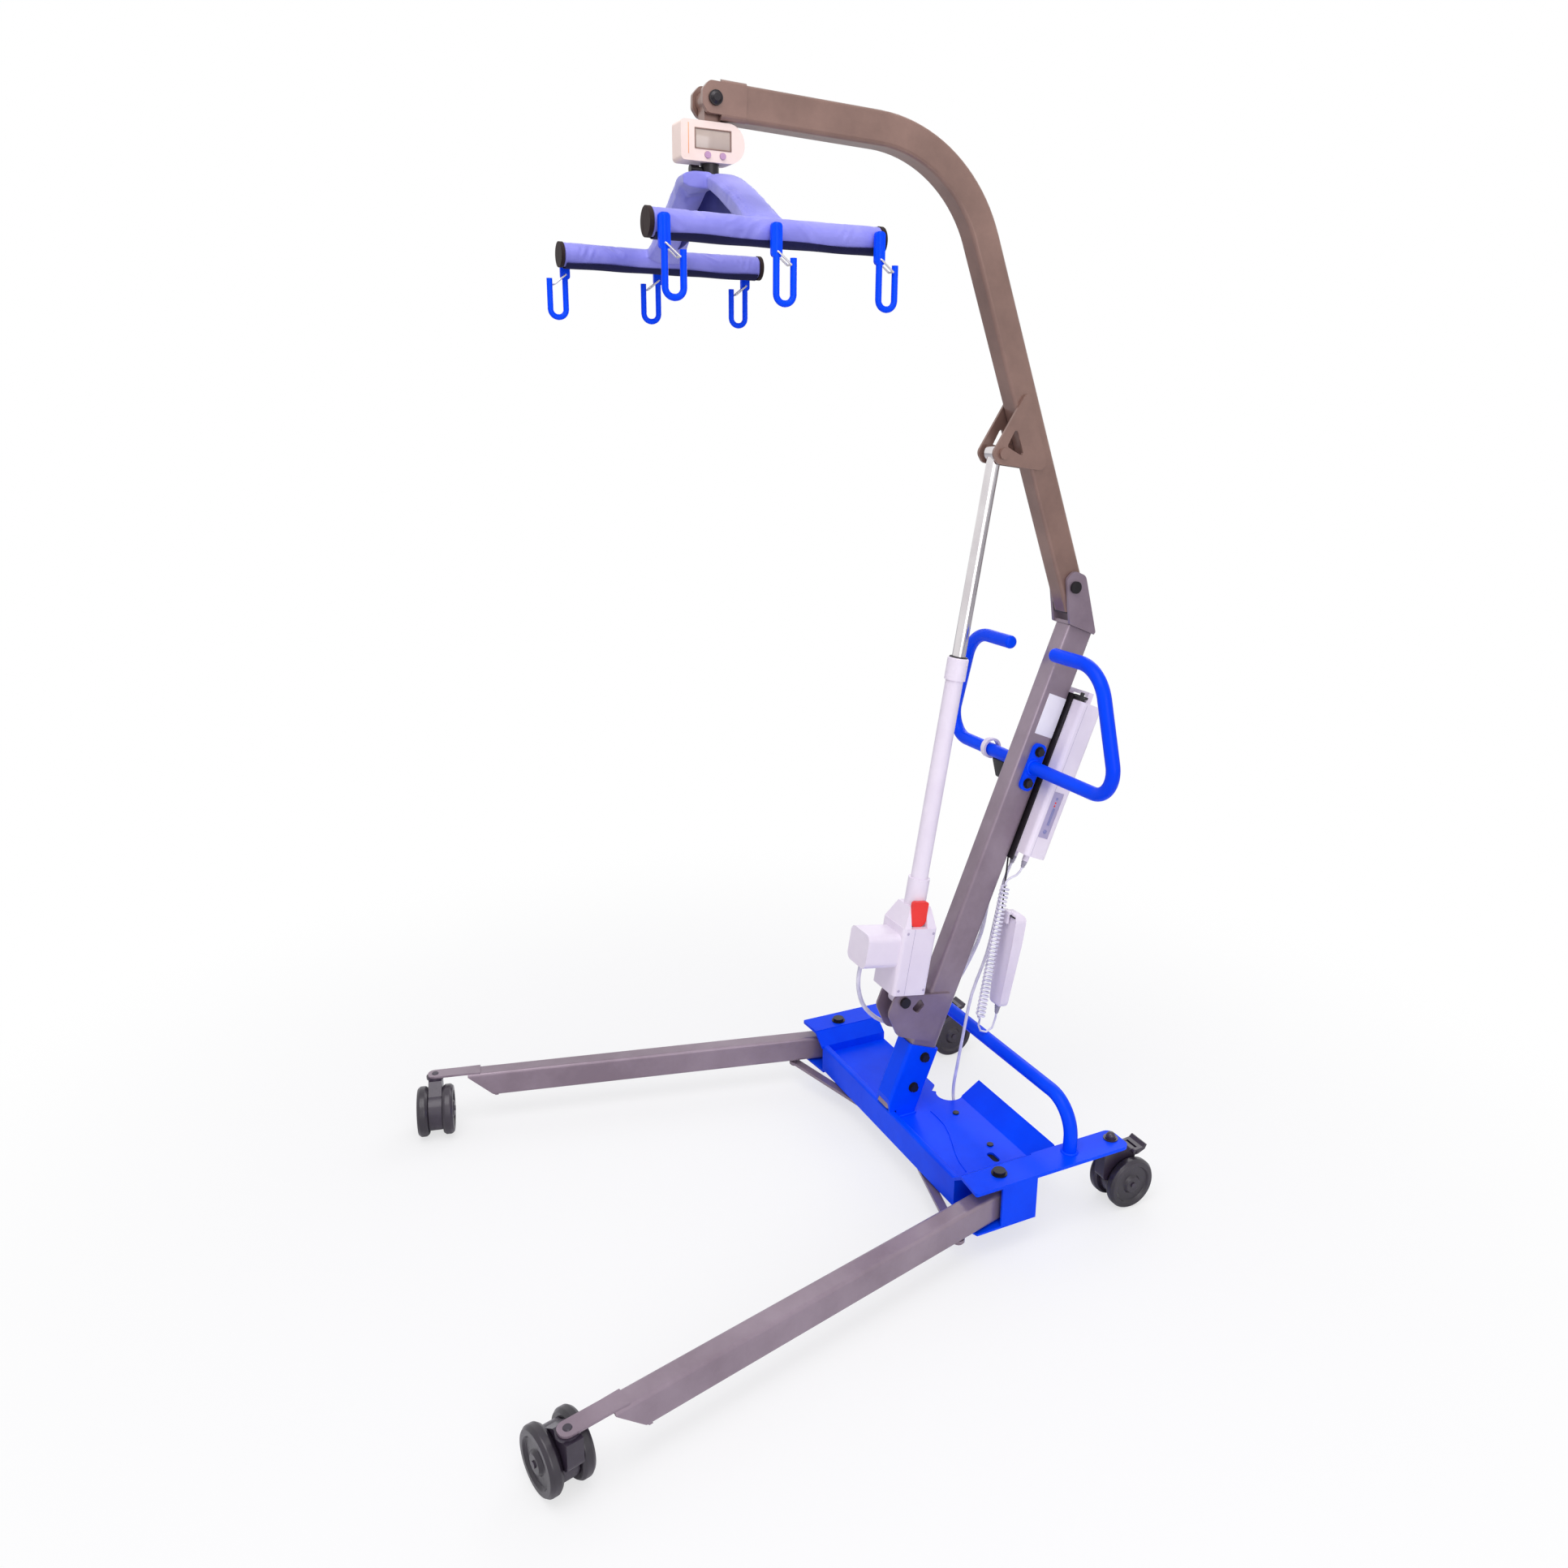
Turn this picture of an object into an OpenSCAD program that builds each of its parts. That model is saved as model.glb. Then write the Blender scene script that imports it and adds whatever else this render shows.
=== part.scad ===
// Mobile floor lift for moving a patient in a sling: a wheeled base with two
// spreading legs, a leaning mast, a curved boom on a linear actuator, a weighing
// unit and a six point sling cradle. Millimetres, +Z up, floor at Z 0.
// The legs point towards -Y and the handles towards +Y.

/* [Base frame] */
// Half distance between the two leg pivots
pivot_x = 300; // [260:1:340]
// Height of the top of the rear arms above the floor
arm_top = 133; // [130:1:140]
// Thickness of the arm plate
arm_t = 6; // [4:0.5:7]
// Width of one rear arm
arm_w = 58; // [50:1:64]
// Distance of the rear caster stems behind the leg pivots
rear_stem_y = 242; // [225:1:270]
// Height of the tray floor
tray_z = 95; // [90:1:100]
// Sheet thickness of the tray and the channels
sheet_t = 4; // [3:0.5:5]
// Front face of the cross member, ahead of the leg pivots
rail_y = 60; // [56:1:70]
// Height of the top edge of the cross member
rail_top = 111; // [106:1:114]
// Height of the lower edge of the cross member
rail_low = 56; // [52:1:60]
// Distance of the tray's rear edge behind the leg pivots
tray_rear = 85; // [80:1:95]
// Distance of the raised rear flange's edge behind the leg pivots
flange_rear = 150; // [140:1:160]
// Height of the rear flange's edge
flange_z = 121; // [112:1:124]

/* [Legs] */
// Distance from leg pivot to front caster stem
leg_len = 825; // [760:1:900]
// Width of the leg tube
leg_w = 36; // [32:1:38]
// Height of the leg tube
leg_h = 50; // [44:1:52]
// Height of the underside of the leg tube
leg_z = 57.5; // [56:0.5:60]
// Wall of the leg tube
leg_wall = 3; // [2:0.5:4]
// Angle that each leg stands open, from straight ahead
leg_open = 13; // [10:0.5:15]
// Width of the flat caster tab at the front of a leg
tab_w = 34; // [30:1:36]

/* [Casters] */
// Radius of every caster wheel
wheel_r = 48; // [44:0.5:50]
// Width of one caster wheel
wheel_w = 20; // [16:0.5:24]
// Distance between the middles of the two wheels of a caster
wheel_gap = 47; // [45:0.5:54]
// Distance of the axle behind the swivel stem
trail = 32; // [26:0.5:36]
// Radius of the wheel axle
axle_r = 5; // [4:0.25:6]

/* [Mast] */
// Lean of the mast from upright
mast_lean = 21.25; // [18:0.25:22]
// Depth of the mast tube, front to back
mast_d = 60; // [50:1:62]
// Width of the mast tube
mast_w = 40; // [36:1:44]
// Wall of the mast tube
mast_wall = 3; // [2:0.5:4]
// Length of the mast tube from the tray floor
mast_len = 982; // [960:1:1000]
// Length of the socket that holds the mast foot
socket_len = 146; // [136:1:150]

/* [Boom] */
// Distance of the boom pivot behind the leg pivots
boom_y = 293; // [288:1:298]
// Height of the boom pivot
boom_z = 1090; // [1086:1:1094]
// Depth of the boom tube
boom_d = 50; // [44:1:52]
// Width of the boom tube
boom_w = 40; // [36:1:40]
// Wall of the boom tube
boom_wall = 3; // [2:0.5:4]
// Forward lean of the boom's lower length
boom_lean = 21; // [18:0.5:24]
// Straight length of the boom from the pivot to the bend
boom_low_len = 613; // [560:1:640]
// Bend radius on the boom's centre line
boom_bend_r = 222; // [200:1:240]
// Rise of the boom's upper length towards the tip
boom_rise = 1.8; // [0:0.2:4]
// Straight length of the boom from the bend to the tip bolt
boom_tip_len = 270; // [250:1:290]
// Radius of the boom pivot bolt
boom_pin_r = 8; // [6:0.5:9]

/* [Lift actuator] */
// Distance of the lower actuator pin ahead of the leg pivots
motor_pin_y = 34; // [28:1:38]
// Height of the lower actuator pin
motor_pin_z = 335; // [330:1:340]
// Radius of the lower actuator pin
motor_pin_r = 6; // [5:0.5:7]
// Distance of the upper actuator pin along the boom from its pivot
lift_pin_t = 281; // [270:0.5:290]
// Distance of the upper actuator pin under the boom's centre line
lift_pin_v = 75; // [68:0.5:80]
// Width of the motor housing
motor_w = 78; // [70:1:84]
// Radius of the actuator's outer tube
tube_r = 16; // [15:0.5:18]
// Length from the lower pin to the end of the outer tube
tube_end = 646; // [600:1:660]
// Radius of the sliding rod
rod_r = 12; // [10:0.5:13]

/* [Handles] */
// Distance of the handles' plane behind the leg pivots
handle_y = 226; // [220:1:232]
// Height of the handles' lower run
handle_z = 758; // [745:1:775]
// Height between the handles' lower and upper runs
handle_h = 220; // [200:1:230]
// Greatest reach of a handle from the middle, on its centre line
handle_x = 258; // [230:1:270]
// Reach of the handle's upper shoulder
handle_shoulder_x = 192; // [175:1:210]
// Distance of the handle's free end from the middle
handle_end_x = 68; // [60:1:90]
// Radius of the handle and hoop tubes
pipe_r = 12.5; // [11:0.5:13]
// Height of the rear hoop's cross run
hoop_z = 222; // [205:1:235]
// Distance of the rear hoop behind the leg pivots
hoop_y = 150; // [140:1:165]

/* [Control box] */
// Width of the control box
box_w = 120; // [100:1:124]
// Depth of the control box
box_d = 50; // [44:1:56]
// Position of the box's lower end along the mast
box_low = 556; // [540:1:570]
// Length of the control box below the battery
box_len = 164; // [150:1:164]
// Length of the battery pack
battery_len = 138; // [120:1:150]

/* [Cradle] */
// Half distance between the two cradle bars
bar_x = 207; // [190:1:220]
// Half length of a cradle bar
bar_half = 170; // [164:1:178]
// Distance of the bars' middle below the boom tip bolt
bar_drop = 195; // [185:1:205]
// Radius of the steel bar
bar_r = 14; // [12:0.5:15]
// Radius of the padded cover on a bar
cover_r = 19; // [18:0.5:21]
// Distance between neighbouring sling hooks
hook_pitch = 154; // [130:1:156]
// Radius of the hook wire
hook_r = 4.5; // [3.5:0.25:5]
// Width of a hook loop on its centre line
hook_w = 25; // [23:0.5:28]

/* [Weighing unit] */
// Width of the weighing unit
scale_w = 97; // [86:1:100]
// Height of the weighing unit
scale_h = 53; // [50:1:60]
// Thickness of the weighing unit
scale_t = 36; // [32:1:40]

/* [Hidden] */
$fn = 48;

blue = [0.02, 0.24, 0.9];
grey = [0.5, 0.42, 0.46];
brown = [0.52, 0.4, 0.36];
white = [0.93, 0.91, 0.93];
black = [0.1, 0.09, 0.1];
steel = [0.78, 0.78, 0.8];
lilac = [0.55, 0.55, 0.88];

// A bend is drawn this much thinner than its straight, which runs a little into it
lap_in = 0.1;
lap = 0.8;

// Running clearance of hinge shafts, and the gap left between resting faces
run = 0.05;
gap = 0.3;

// Reach of the whole lift ahead of and behind the leg pivots, and the shift that
// puts the origin under the middle of its box
nose_y = leg_len * cos(leg_open) + (trail + wheel_r - 4) * sin(leg_open) + (wheel_gap + wheel_w) / 2 * cos(leg_open);

module place() {
  translate([0, shift_y, 0]) children();
}

function unit(v) = v / norm(v);
function wrap(a) = a - 360 * floor((a + 180) / 360);
function arc(c, r, a0, a1, n) = [for (i = [0:n]) c + r * [cos(a0 + (a1 - a0) * i / n), sin(a0 + (a1 - a0) * i / n)]];

// One rounded corner of an outline, at b between a and c
function corner(a, b, c, r, n) = let (
    d1 = unit(a - b),
    d2 = unit(c - b),
    h = acos(d1 * d2) / 2,
    t = r / tan(h),
    m = b + unit(d1 + d2) * r / sin(h),
    s = b + d1 * t - m,
    e = b + d2 * t - m,
    a0 = atan2(s[1], s[0]),
    da = wrap(atan2(e[1], e[0]) - a0)
  ) arc(m, r, a0, a0 + da, n);

// Outline with each corner [x, y, radius] rounded
function rounded(p, n = 5) = [for (i = [0:len(p) - 1])
  let (q = p[i], a = p[(i + len(p) - 1) % len(p)], c = p[(i + 1) % len(p)])
  each (q[2] > 0 ? corner([a[0], a[1]], [q[0], q[1]], [c[0], c[1]], q[2], n) : [[q[0], q[1]]])];
function rectangle(w, d, r) = rounded([[-w / 2, -d / 2, r], [w / 2, -d / 2, r], [w / 2, d / 2, r], [-w / 2, d / 2, r]], 4);

module tube_section(w, d, wall) {
  difference() {
    polygon(rectangle(w, d, 6));
    polygon(rectangle(w - 2 * wall, d - 2 * wall, 6 - wall));
  }
}

// Plate that lies across X, drawn as an outline of [Y, Z] points
module side_plate(p, x0, t, n = 5) {
  translate([x0, 0, 0]) rotate([90, 0, 90]) linear_extrude(t) polygon(rounded(p, n));
}

// Cylinder along X
module cross_pin(r, x0, x1) {
  translate([x0, 0, 0]) rotate([0, 90, 0]) cylinder(r = r, h = x1 - x0);
}

// Round bar or pipe through points, with a bend of radius bend at each inner point
module pipe_run(p, bend, r) {
  n = len(p);
  t = [for (i = [0:n - 1]) (i == 0 || i == n - 1) ? 0
    : bend[i] / tan(acos(unit(p[i - 1] - p[i]) * unit(p[i + 1] - p[i])) / 2)];
  for (i = [0:n - 2]) {
    d = unit(p[i + 1] - p[i]);
    over = [i > 0 ? lap : 0, i < n - 2 ? lap : 0];
    s = p[i] + d * (t[i] - over[0]);
    l = norm(p[i + 1] - p[i]) - t[i] - t[i + 1] + over[0] + over[1];
    z_axis = d;
    x_axis = unit(cross(abs(d[2]) > 0.9 ? [1, 0, 0] : [0, 0, 1], d));
    y_axis = cross(z_axis, x_axis);
    multmatrix([[x_axis[0], y_axis[0], z_axis[0], s[0]], [x_axis[1], y_axis[1], z_axis[1], s[1]],
        [x_axis[2], y_axis[2], z_axis[2], s[2]], [0, 0, 0, 1]])
      cylinder(r = r, h = l);
  }
  for (i = [1:1:n - 2]) {
    d1 = unit(p[i] - p[i - 1]);
    d2 = unit(p[i + 1] - p[i]);
    turn = acos(d1 * d2);
    x_axis = unit(d1 * (d1 * d2) - d2);
    z_axis = cross(x_axis, d1);
    c = p[i] - d1 * t[i] - x_axis * bend[i];
    multmatrix([[x_axis[0], d1[0], z_axis[0], c[0]], [x_axis[1], d1[1], z_axis[1], c[1]],
        [x_axis[2], d1[2], z_axis[2], c[2]], [0, 0, 0, 1]])
      rotate_extrude(angle = turn) translate([bend[i], 0]) circle(r = r - lap_in);
  }
}

// Cord: a closed tube of given sides swept along points, with turning rings
function tangent(p, i) = unit(p[min(i + 1, len(p) - 1)] - p[max(i - 1, 0)]);
function side_of(t) = unit(cross(abs(t[2]) > 0.9 ? [1, 0, 0] : [0, 0, 1], t));
module cord(p, r, sides) {
  n = len(p);
  sides_dir = [for (i = 0, v = side_of(tangent(p, 0)); i < n;
    i = i + 1, v = i < n ? unit(v - (v * tangent(p, i)) * tangent(p, i)) : v) v];
  pts = [for (i = [0:n - 1]) let (t = tangent(p, i), u = sides_dir[i], w = cross(t, u))
    for (k = [0:sides - 1]) p[i] + r * (cos(360 * k / sides) * u + sin(360 * k / sides) * w)];
  first = n * sides;
  faces = concat(
    [for (i = [0:n - 2]) for (k = [0:sides - 1]) let (a = i * sides + k, b = i * sides + (k + 1) % sides)
      each [[a, a + sides, b + sides], [a, b + sides, b]]],
    [for (k = [0:sides - 1]) [first, k, (k + 1) % sides]],
    [for (k = [0:sides - 1]) [first + 1, (n - 1) * sides + (k + 1) % sides, (n - 1) * sides + k]]);
  polyhedron(concat(pts, [p[0], p[n - 1]]), faces);
}

// Smooth curve through chosen points
function blend_pt(a, b, c, d, t) = 0.5 * (2 * b + (c - a) * t + (2 * a - 5 * b + 4 * c - d) * t * t
  + (3 * b - a - 3 * c + d) * t * t * t);
function smooth(p, m) = concat([for (i = [0:len(p) - 2]) for (j = [0:m - 1])
    blend_pt(p[max(i - 1, 0)], p[i], p[i + 1], p[min(i + 2, len(p) - 1)], j / m)], [p[len(p) - 1]]);

// Mast frame: origin where its centre line meets the tray, U backwards, S along it
mast_foot_y = -38;
mast_foot = [mast_foot_y, tray_z];
function to_mast(p) = let (d = p - mast_foot)
  [d[0] * cos(mast_lean) - d[1] * sin(mast_lean), d[0] * sin(mast_lean) + d[1] * cos(mast_lean)];
function from_mast(q) = mast_foot + [q[0] * cos(mast_lean) + q[1] * sin(mast_lean),
  q[1] * cos(mast_lean) - q[0] * sin(mast_lean)];
box_end = from_mast([mast_d / 2 + 4 + box_d / 2 + 16, box_low + box_len + battery_len + 21.3]);
tail_y = max(rear_stem_y + trail + wheel_r, box_end[0]);
shift_y = (nose_y - tail_y) / 2;
echo(shift_y = shift_y);
module on_mast() {
  place() translate([0, mast_foot_y, tray_z]) rotate([-mast_lean, 0, 0]) children();
}

// Boom frame: origin at the pivot, T along the lower length, V outwards
boom_pivot = [boom_y, boom_z];
boom_t = [-sin(boom_lean), cos(boom_lean)];
boom_v = [cos(boom_lean), sin(boom_lean)];
bend_start = boom_pivot + boom_t * boom_low_len;
bend_centre = bend_start - boom_v * boom_bend_r;
tip_dir = [-cos(boom_rise), sin(boom_rise)];
tip_up = [sin(boom_rise), cos(boom_rise)];
bend_end = bend_centre + tip_up * boom_bend_r;
boom_turn = 90 - boom_lean - boom_rise;
tip = bend_end + tip_dir * boom_tip_len;
module on_boom() {
  place() translate([0, boom_y, boom_z]) rotate([boom_lean, 0, 0]) children();
}
module on_tip() {
  place() translate([0, tip[0], tip[1]]) rotate([-boom_rise, 0, 0]) children();
}

// Actuator frame: origin at the lower pin, W along the rod
motor_pin = [-motor_pin_y, motor_pin_z];
lift_pin = boom_pivot + boom_t * lift_pin_t - boom_v * lift_pin_v;
rod_len = norm(lift_pin - motor_pin);
rod_lean = atan2(lift_pin[0] - motor_pin[0], lift_pin[1] - motor_pin[1]);
module on_actuator() {
  place() translate([0, motor_pin[0], motor_pin[1]]) rotate([-rod_lean, 0, 0]) children();
}

// Leg channels
channel_in = pivot_x - 50;
channel_out = pivot_x + 33;
channel_low = leg_z - 7.5;
arm_in = channel_out - arm_w;
leg_top = leg_z + leg_h;
arm_low = arm_top - arm_t;
leg_pin_r = 8;
stem_r = 5;

module mirror_pair() {
  children();
  mirror([1, 0, 0]) children();
}

module tray_sheet() {
  rail_in = 13;
  profile = [[-rail_y, rail_low, 0], [-rail_y, rail_top, 3.5], [-rail_y + rail_in, rail_top, 3.5],
    [-rail_y + rail_in + 3, tray_z, 3], [tray_rear, tray_z, 0], [tray_rear, tray_z - sheet_t, 0],
    [-rail_y + rail_in - 1, tray_z - sheet_t, 2], [-rail_y + rail_in - 4, rail_top - sheet_t, 0],
    [-rail_y + sheet_t, rail_top - sheet_t, 0], [-rail_y + sheet_t, rail_low + sheet_t, 0],
    [-rail_y + 18, rail_low + sheet_t, 0], [-rail_y + 18, rail_low, 0]];
  side_plate(profile, -channel_in - sheet_t, 2 * (channel_in + sheet_t), 3);
}

module base_frame() {
  flange_x0 = 14;
  flange_x1 = arm_in - 18;
  stiff_y = tray_rear - 6;
  color(blue) place() difference() {
    union() {
      tray_sheet();
      // raised flange over the leg actuator, on one side only
      side_plate([[stiff_y, tray_z - sheet_t, 0], [stiff_y, tray_z, 0], [tray_rear + 24, tray_z, 4],
          [flange_rear, flange_z, 0], [flange_rear + 2, flange_z - sheet_t, 0],
          [tray_rear + 26, tray_z - sheet_t, 4]], flange_x0, flange_x1 - flange_x0, 4);
      mirror_pair() {
        // inner wall, sloping shoulder and top plate of the leg channel
        translate([channel_in, -rail_y, channel_low]) cube([sheet_t, rail_y + tray_rear, rail_top - channel_low - 1]);
        translate([0, tray_rear, 0]) rotate([90, 0, 0]) linear_extrude(rail_y + tray_rear + 4)
          polygon([[channel_in, rail_top - sheet_t - 1], [channel_in, rail_top], [arm_in + 6, arm_top],
              [arm_in + 12, arm_top], [arm_in + 12, arm_low], [arm_in + 6, arm_low]]);
        translate([0, 0, arm_low]) linear_extrude(arm_t)
          polygon(rounded([[arm_in + 4, -rail_y - 4, 0], [channel_out, -rail_y - 8, 4],
              [channel_out, rear_stem_y + 18, 14], [arm_in, rear_stem_y + 18, 14], [arm_in, tray_rear - 2, 0],
              [arm_in + 4, tray_rear - 2, 0]], 5));
        // outer wall and lower plate
        translate([channel_out - sheet_t, -14, channel_low]) cube([sheet_t, 72, arm_low - channel_low + 1]);
        translate([0, 0, channel_low]) linear_extrude(sheet_t)
          polygon([[channel_in, -rail_y], [channel_out - 14, -rail_y - 8], [channel_out, -rail_y - 2],
              [channel_out, 58], [channel_in, tray_rear]]);
      }
      // bracket that carries the leg actuator under the flange
      translate([leg_motor_x - 8, leg_motor_end - 2, leg_motor_z + leg_motor_h / 2 + gap])
        cube([16, 8, tray_z - leg_motor_z - leg_motor_h / 2 + 17]);
    }
    // pivot and caster stem holes
    mirror_pair() {
      translate([pivot_x, 0, 0]) cylinder(r = leg_pin_r + run, h = 300);
      translate([rear_x, rear_stem_y, 0]) cylinder(r = stem_r + run, h = 300);
    }
    // cable notch behind the mast, adjusting slot and slanted flange end
    translate([-6, tray_rear + 10, 0]) cylinder(r = 26, h = 300);
    translate([218, 52, 0]) cylinder(r = 7, h = 300);
    translate([202, 52, 0]) cylinder(r = 7, h = 300);
    translate([202, 45, 0]) cube([16, 14, 300]);
    translate([flange_x0, tray_rear + 24, tray_z - 20]) rotate([0, 0, 42]) translate([-60, -1, 0]) cube([60, 90, 80]);
    translate([0, 0, tray_z - sheet_t - 1]) {
      for (x = tray_screw_x) translate([x, tray_screw_y, 0]) cylinder(r = tray_screw_r, h = 20);
    }
  }
}
rear_x = pivot_x;
tray_screw_x = [60, 176];
tray_screw_y = 68;
tray_screw_r = 3;

socket_wall = 4;
socket_fit = 0.5;
socket_bolt_s = [64, 126];
socket_bolt_u = 7;
socket_bolt_r = 5;
handle_root = to_mast([handle_y, handle_z]);
handle_bolt_s = [handle_root[1] - 31, handle_root[1] + 31];
handle_bolt_u = handle_root[0];
handle_bolt_r = 4;
handle_plate_t = 6;

module mast_socket() {
  w = mast_w + 2 * (socket_fit + socket_wall);
  d = mast_d + 2 * (socket_fit + socket_wall);
  color(blue) intersection() {
    on_mast() difference() {
      translate([0, 0, -60]) linear_extrude(socket_len + 60) difference() {
        polygon(rectangle(w, d, 7));
        polygon(rectangle(mast_w + 2 * socket_fit, mast_d + 2 * socket_fit, 6));
      }
      for (s = socket_bolt_s) translate([0, socket_bolt_u, s]) cross_pin(socket_bolt_r + run, -w, w);
    }
    place() translate([-60, mast_foot_y - 100, tray_z]) cube([120, 300, 300]);
    // clear of the front rail's raised edge
    place() translate([-60, -rail_y + 16.3, tray_z]) cube([120, 300, 300]);
  }
  color(blue) intersection() {
    on_mast() translate([0, 0, -60]) linear_extrude(socket_len + 60) difference() {
      polygon(rectangle(w, d, 7));
      polygon(rectangle(mast_w + 2 * socket_fit, mast_d + 2 * socket_fit, 6));
    }
    place() translate([-60, -rail_y + 1, rail_top + gap]) cube([120, 15.4, 300]);
  }
}

module foot_hoop() {
  color(blue) place() pipe_run([[rear_x, hoop_y, arm_top], [rear_x, hoop_y, hoop_z],
      [-rear_x, hoop_y, hoop_z], [-rear_x, hoop_y, arm_top]], [0, 62, 62, 0], pipe_r);
}

// Hexagon head with washer, standing on X
module side_head(x, s) {
  translate([x, 0, 0]) rotate([0, s * 90, 0]) {
    cylinder(r = 10, h = 1.6);
    translate([0, 0, 1.6]) cylinder(r = 8, h = 6, $fn = 6);
  }
}

module frame_bolts() {
  socket_x = mast_w / 2 + socket_fit + socket_wall;
  handle_x0 = mast_w / 2 + handle_plate_t;
  color(black) {
    on_mast() for (s = socket_bolt_s) translate([0, socket_bolt_u, s]) {
      cross_pin(socket_bolt_r, -socket_x, socket_x);
      side_head(socket_x, 1);
      side_head(-socket_x, -1);
    }
    on_mast() for (s = handle_bolt_s) translate([0, handle_bolt_u, s]) {
      cross_pin(handle_bolt_r, -handle_x0, handle_x0);
      side_head(handle_x0, 1);
      side_head(-handle_x0, -1);
    }
    place() for (x = tray_screw_x) translate([x, tray_screw_y, tray_z]) {
      cylinder(r = 6, h = 2.5);
      translate([0, 0, -sheet_t - 2]) cylinder(r = tray_screw_r - 0.2, h = sheet_t + 2);
    }
  }
}

// Distances of the clevis and head plates from the middle
motor_plate_x = mast_w / 2;
head_plate_x = boom_w / 2 + 1.2;
head_t = 6;
clevis_t = 5;

module pivot_bolts() {
  color(black) {
    place() mirror_pair() translate([pivot_x, 0, 0]) {
      translate([0, 0, channel_low - 5]) cylinder(r = leg_pin_r, h = arm_top - channel_low + 5);
      translate([0, 0, arm_top]) cylinder(r = 14, h = 2);
      translate([0, 0, arm_top + 2]) cylinder(r = 11, h = 5);
      translate([0, 0, channel_low - 9]) cylinder(r = 12, h = 9);
    }
    place() translate([0, boom_y, boom_z]) {
      cross_pin(boom_pin_r, -head_plate_x - head_t - 2, head_plate_x + head_t + 2);
      cross_pin(11, head_plate_x + head_t, head_plate_x + head_t + 5);
      cross_pin(11, -head_plate_x - head_t - 7, -head_plate_x - head_t);
    }
    place() translate([0, motor_pin[0], motor_pin[1]]) {
      cross_pin(motor_pin_r, -motor_plate_x - clevis_t - 2, motor_plate_x + clevis_t + 2);
      cross_pin(10, motor_plate_x + clevis_t, motor_plate_x + clevis_t + 6);
      cross_pin(10, -motor_plate_x - clevis_t - 8, -motor_plate_x - clevis_t);
    }
  }
}

module mast_tube() {
  color(grey) on_mast() difference() {
    union() {
      translate([0, 0, 12]) linear_extrude(mast_len - 12) tube_section(mast_w, mast_d, mast_wall);
    }
    for (s = socket_bolt_s) translate([0, socket_bolt_u, s]) cross_pin(socket_bolt_r + run, -mast_w, mast_w);
    for (s = handle_bolt_s) translate([0, handle_bolt_u, s]) cross_pin(handle_bolt_r + run, -mast_w, mast_w);
  }
}

module motor_clevis() {
  pin = to_mast(motor_pin);
  s0 = socket_len + 12;
  tilt = mast_lean - rod_lean;
  top_u = mast_d / 2 - 16;
  top_s = pin[1] + 13 + (top_u - pin[0]) * tan(tilt);
  plate = [[top_u, s0, 3], [top_u, top_s, 3], [pin[0] - 24, pin[1] + 13 - 24 * tan(tilt), 10],
    [pin[0] - 25, pin[1] - 30, 20], [pin[0] + 12, s0, 20]];
  hole = [[pin[0] + 21, pin[1] - 10, 4], [pin[0] + 38, pin[1] - 17, 4], [pin[0] + 46, pin[1] + 2, 4], [pin[0] + 32, pin[1] + 13, 4]];
  color(grey) on_mast() difference() {
    union() {
      side_plate(plate, motor_plate_x + run, clevis_t - run);
      side_plate(plate, -motor_plate_x - clevis_t, clevis_t - run);
      // web between the plates, against the mast's front face
      translate([-motor_plate_x - 1, -mast_d / 2 - 6, s0 + 2]) cube([2 * motor_plate_x + 2, 5.8, 44]);
    }
    side_plate(hole, -motor_plate_x - 20, 2 * motor_plate_x + 40);
    translate([0, pin[0], pin[1]]) cross_pin(motor_pin_r + run, -60, 60);
  }
}

module mast_head() {
  piv = to_mast(boom_pivot);
  s0 = mast_len + gap;
  low = mast_d / 2 + 3;
  plate = [[-low, s0, 4], [low, s0, 4], [piv[0] + 26, piv[1] + 12, 12], [piv[0] + 14, piv[1] + 27, 14],
    [piv[0] - 14, piv[1] + 27, 14], [piv[0] - 24, piv[1] + 8, 12]];
  color(grey) on_mast() difference() {
    union() {
      side_plate(plate, head_plate_x, head_t);
      side_plate(plate, -head_plate_x - head_t, head_t);
      translate([-head_plate_x - 1, -low + 1, s0]) cube([2 * head_plate_x + 2, 2 * low - 2, 6]);
    }
    translate([0, piv[0], piv[1]]) cross_pin(boom_pin_r + run, -60, 60);
  }
}

handle_low_bend = 48;
handle_path = [[mast_w / 2 + handle_plate_t - 1, handle_y, handle_z], [handle_x + 6, handle_y, handle_z],
  [handle_shoulder_x + 2, handle_y, handle_z + handle_h], [handle_end_x, handle_y, handle_z + handle_h]];
module handle_half() {
  plate_top = handle_bolt_s[1] + 15;
  plate_low = handle_bolt_s[0] - 15;
  place() {
    pipe_run(handle_path, [0, handle_low_bend, 72, 0], pipe_r);
    translate(handle_path[3] + [lap, 0, 0]) rotate([0, -90, 0]) rotate_extrude()
      polygon(concat([[0, 0], [pipe_r - lap_in, 0]], arc([pipe_r - 6, lap], 6 - lap_in, 0, 90, 5), [[0, 6 + lap - lap_in]]));
  }
  on_mast() difference() {
    side_plate([[handle_bolt_u - 15, plate_low, 12], [handle_bolt_u + 15, plate_low, 12],
        [handle_bolt_u + 15, plate_top, 12], [handle_bolt_u - 15, plate_top, 12]], mast_w / 2 + run, handle_plate_t - run);
    for (s = handle_bolt_s) translate([0, handle_bolt_u, s]) cross_pin(handle_bolt_r + run, 0, 60);
  }
}
module push_handle_right() {
  color(blue) handle_half();
}
module push_handle_left() {
  color(blue) mirror([1, 0, 0]) handle_half();
}

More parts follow.
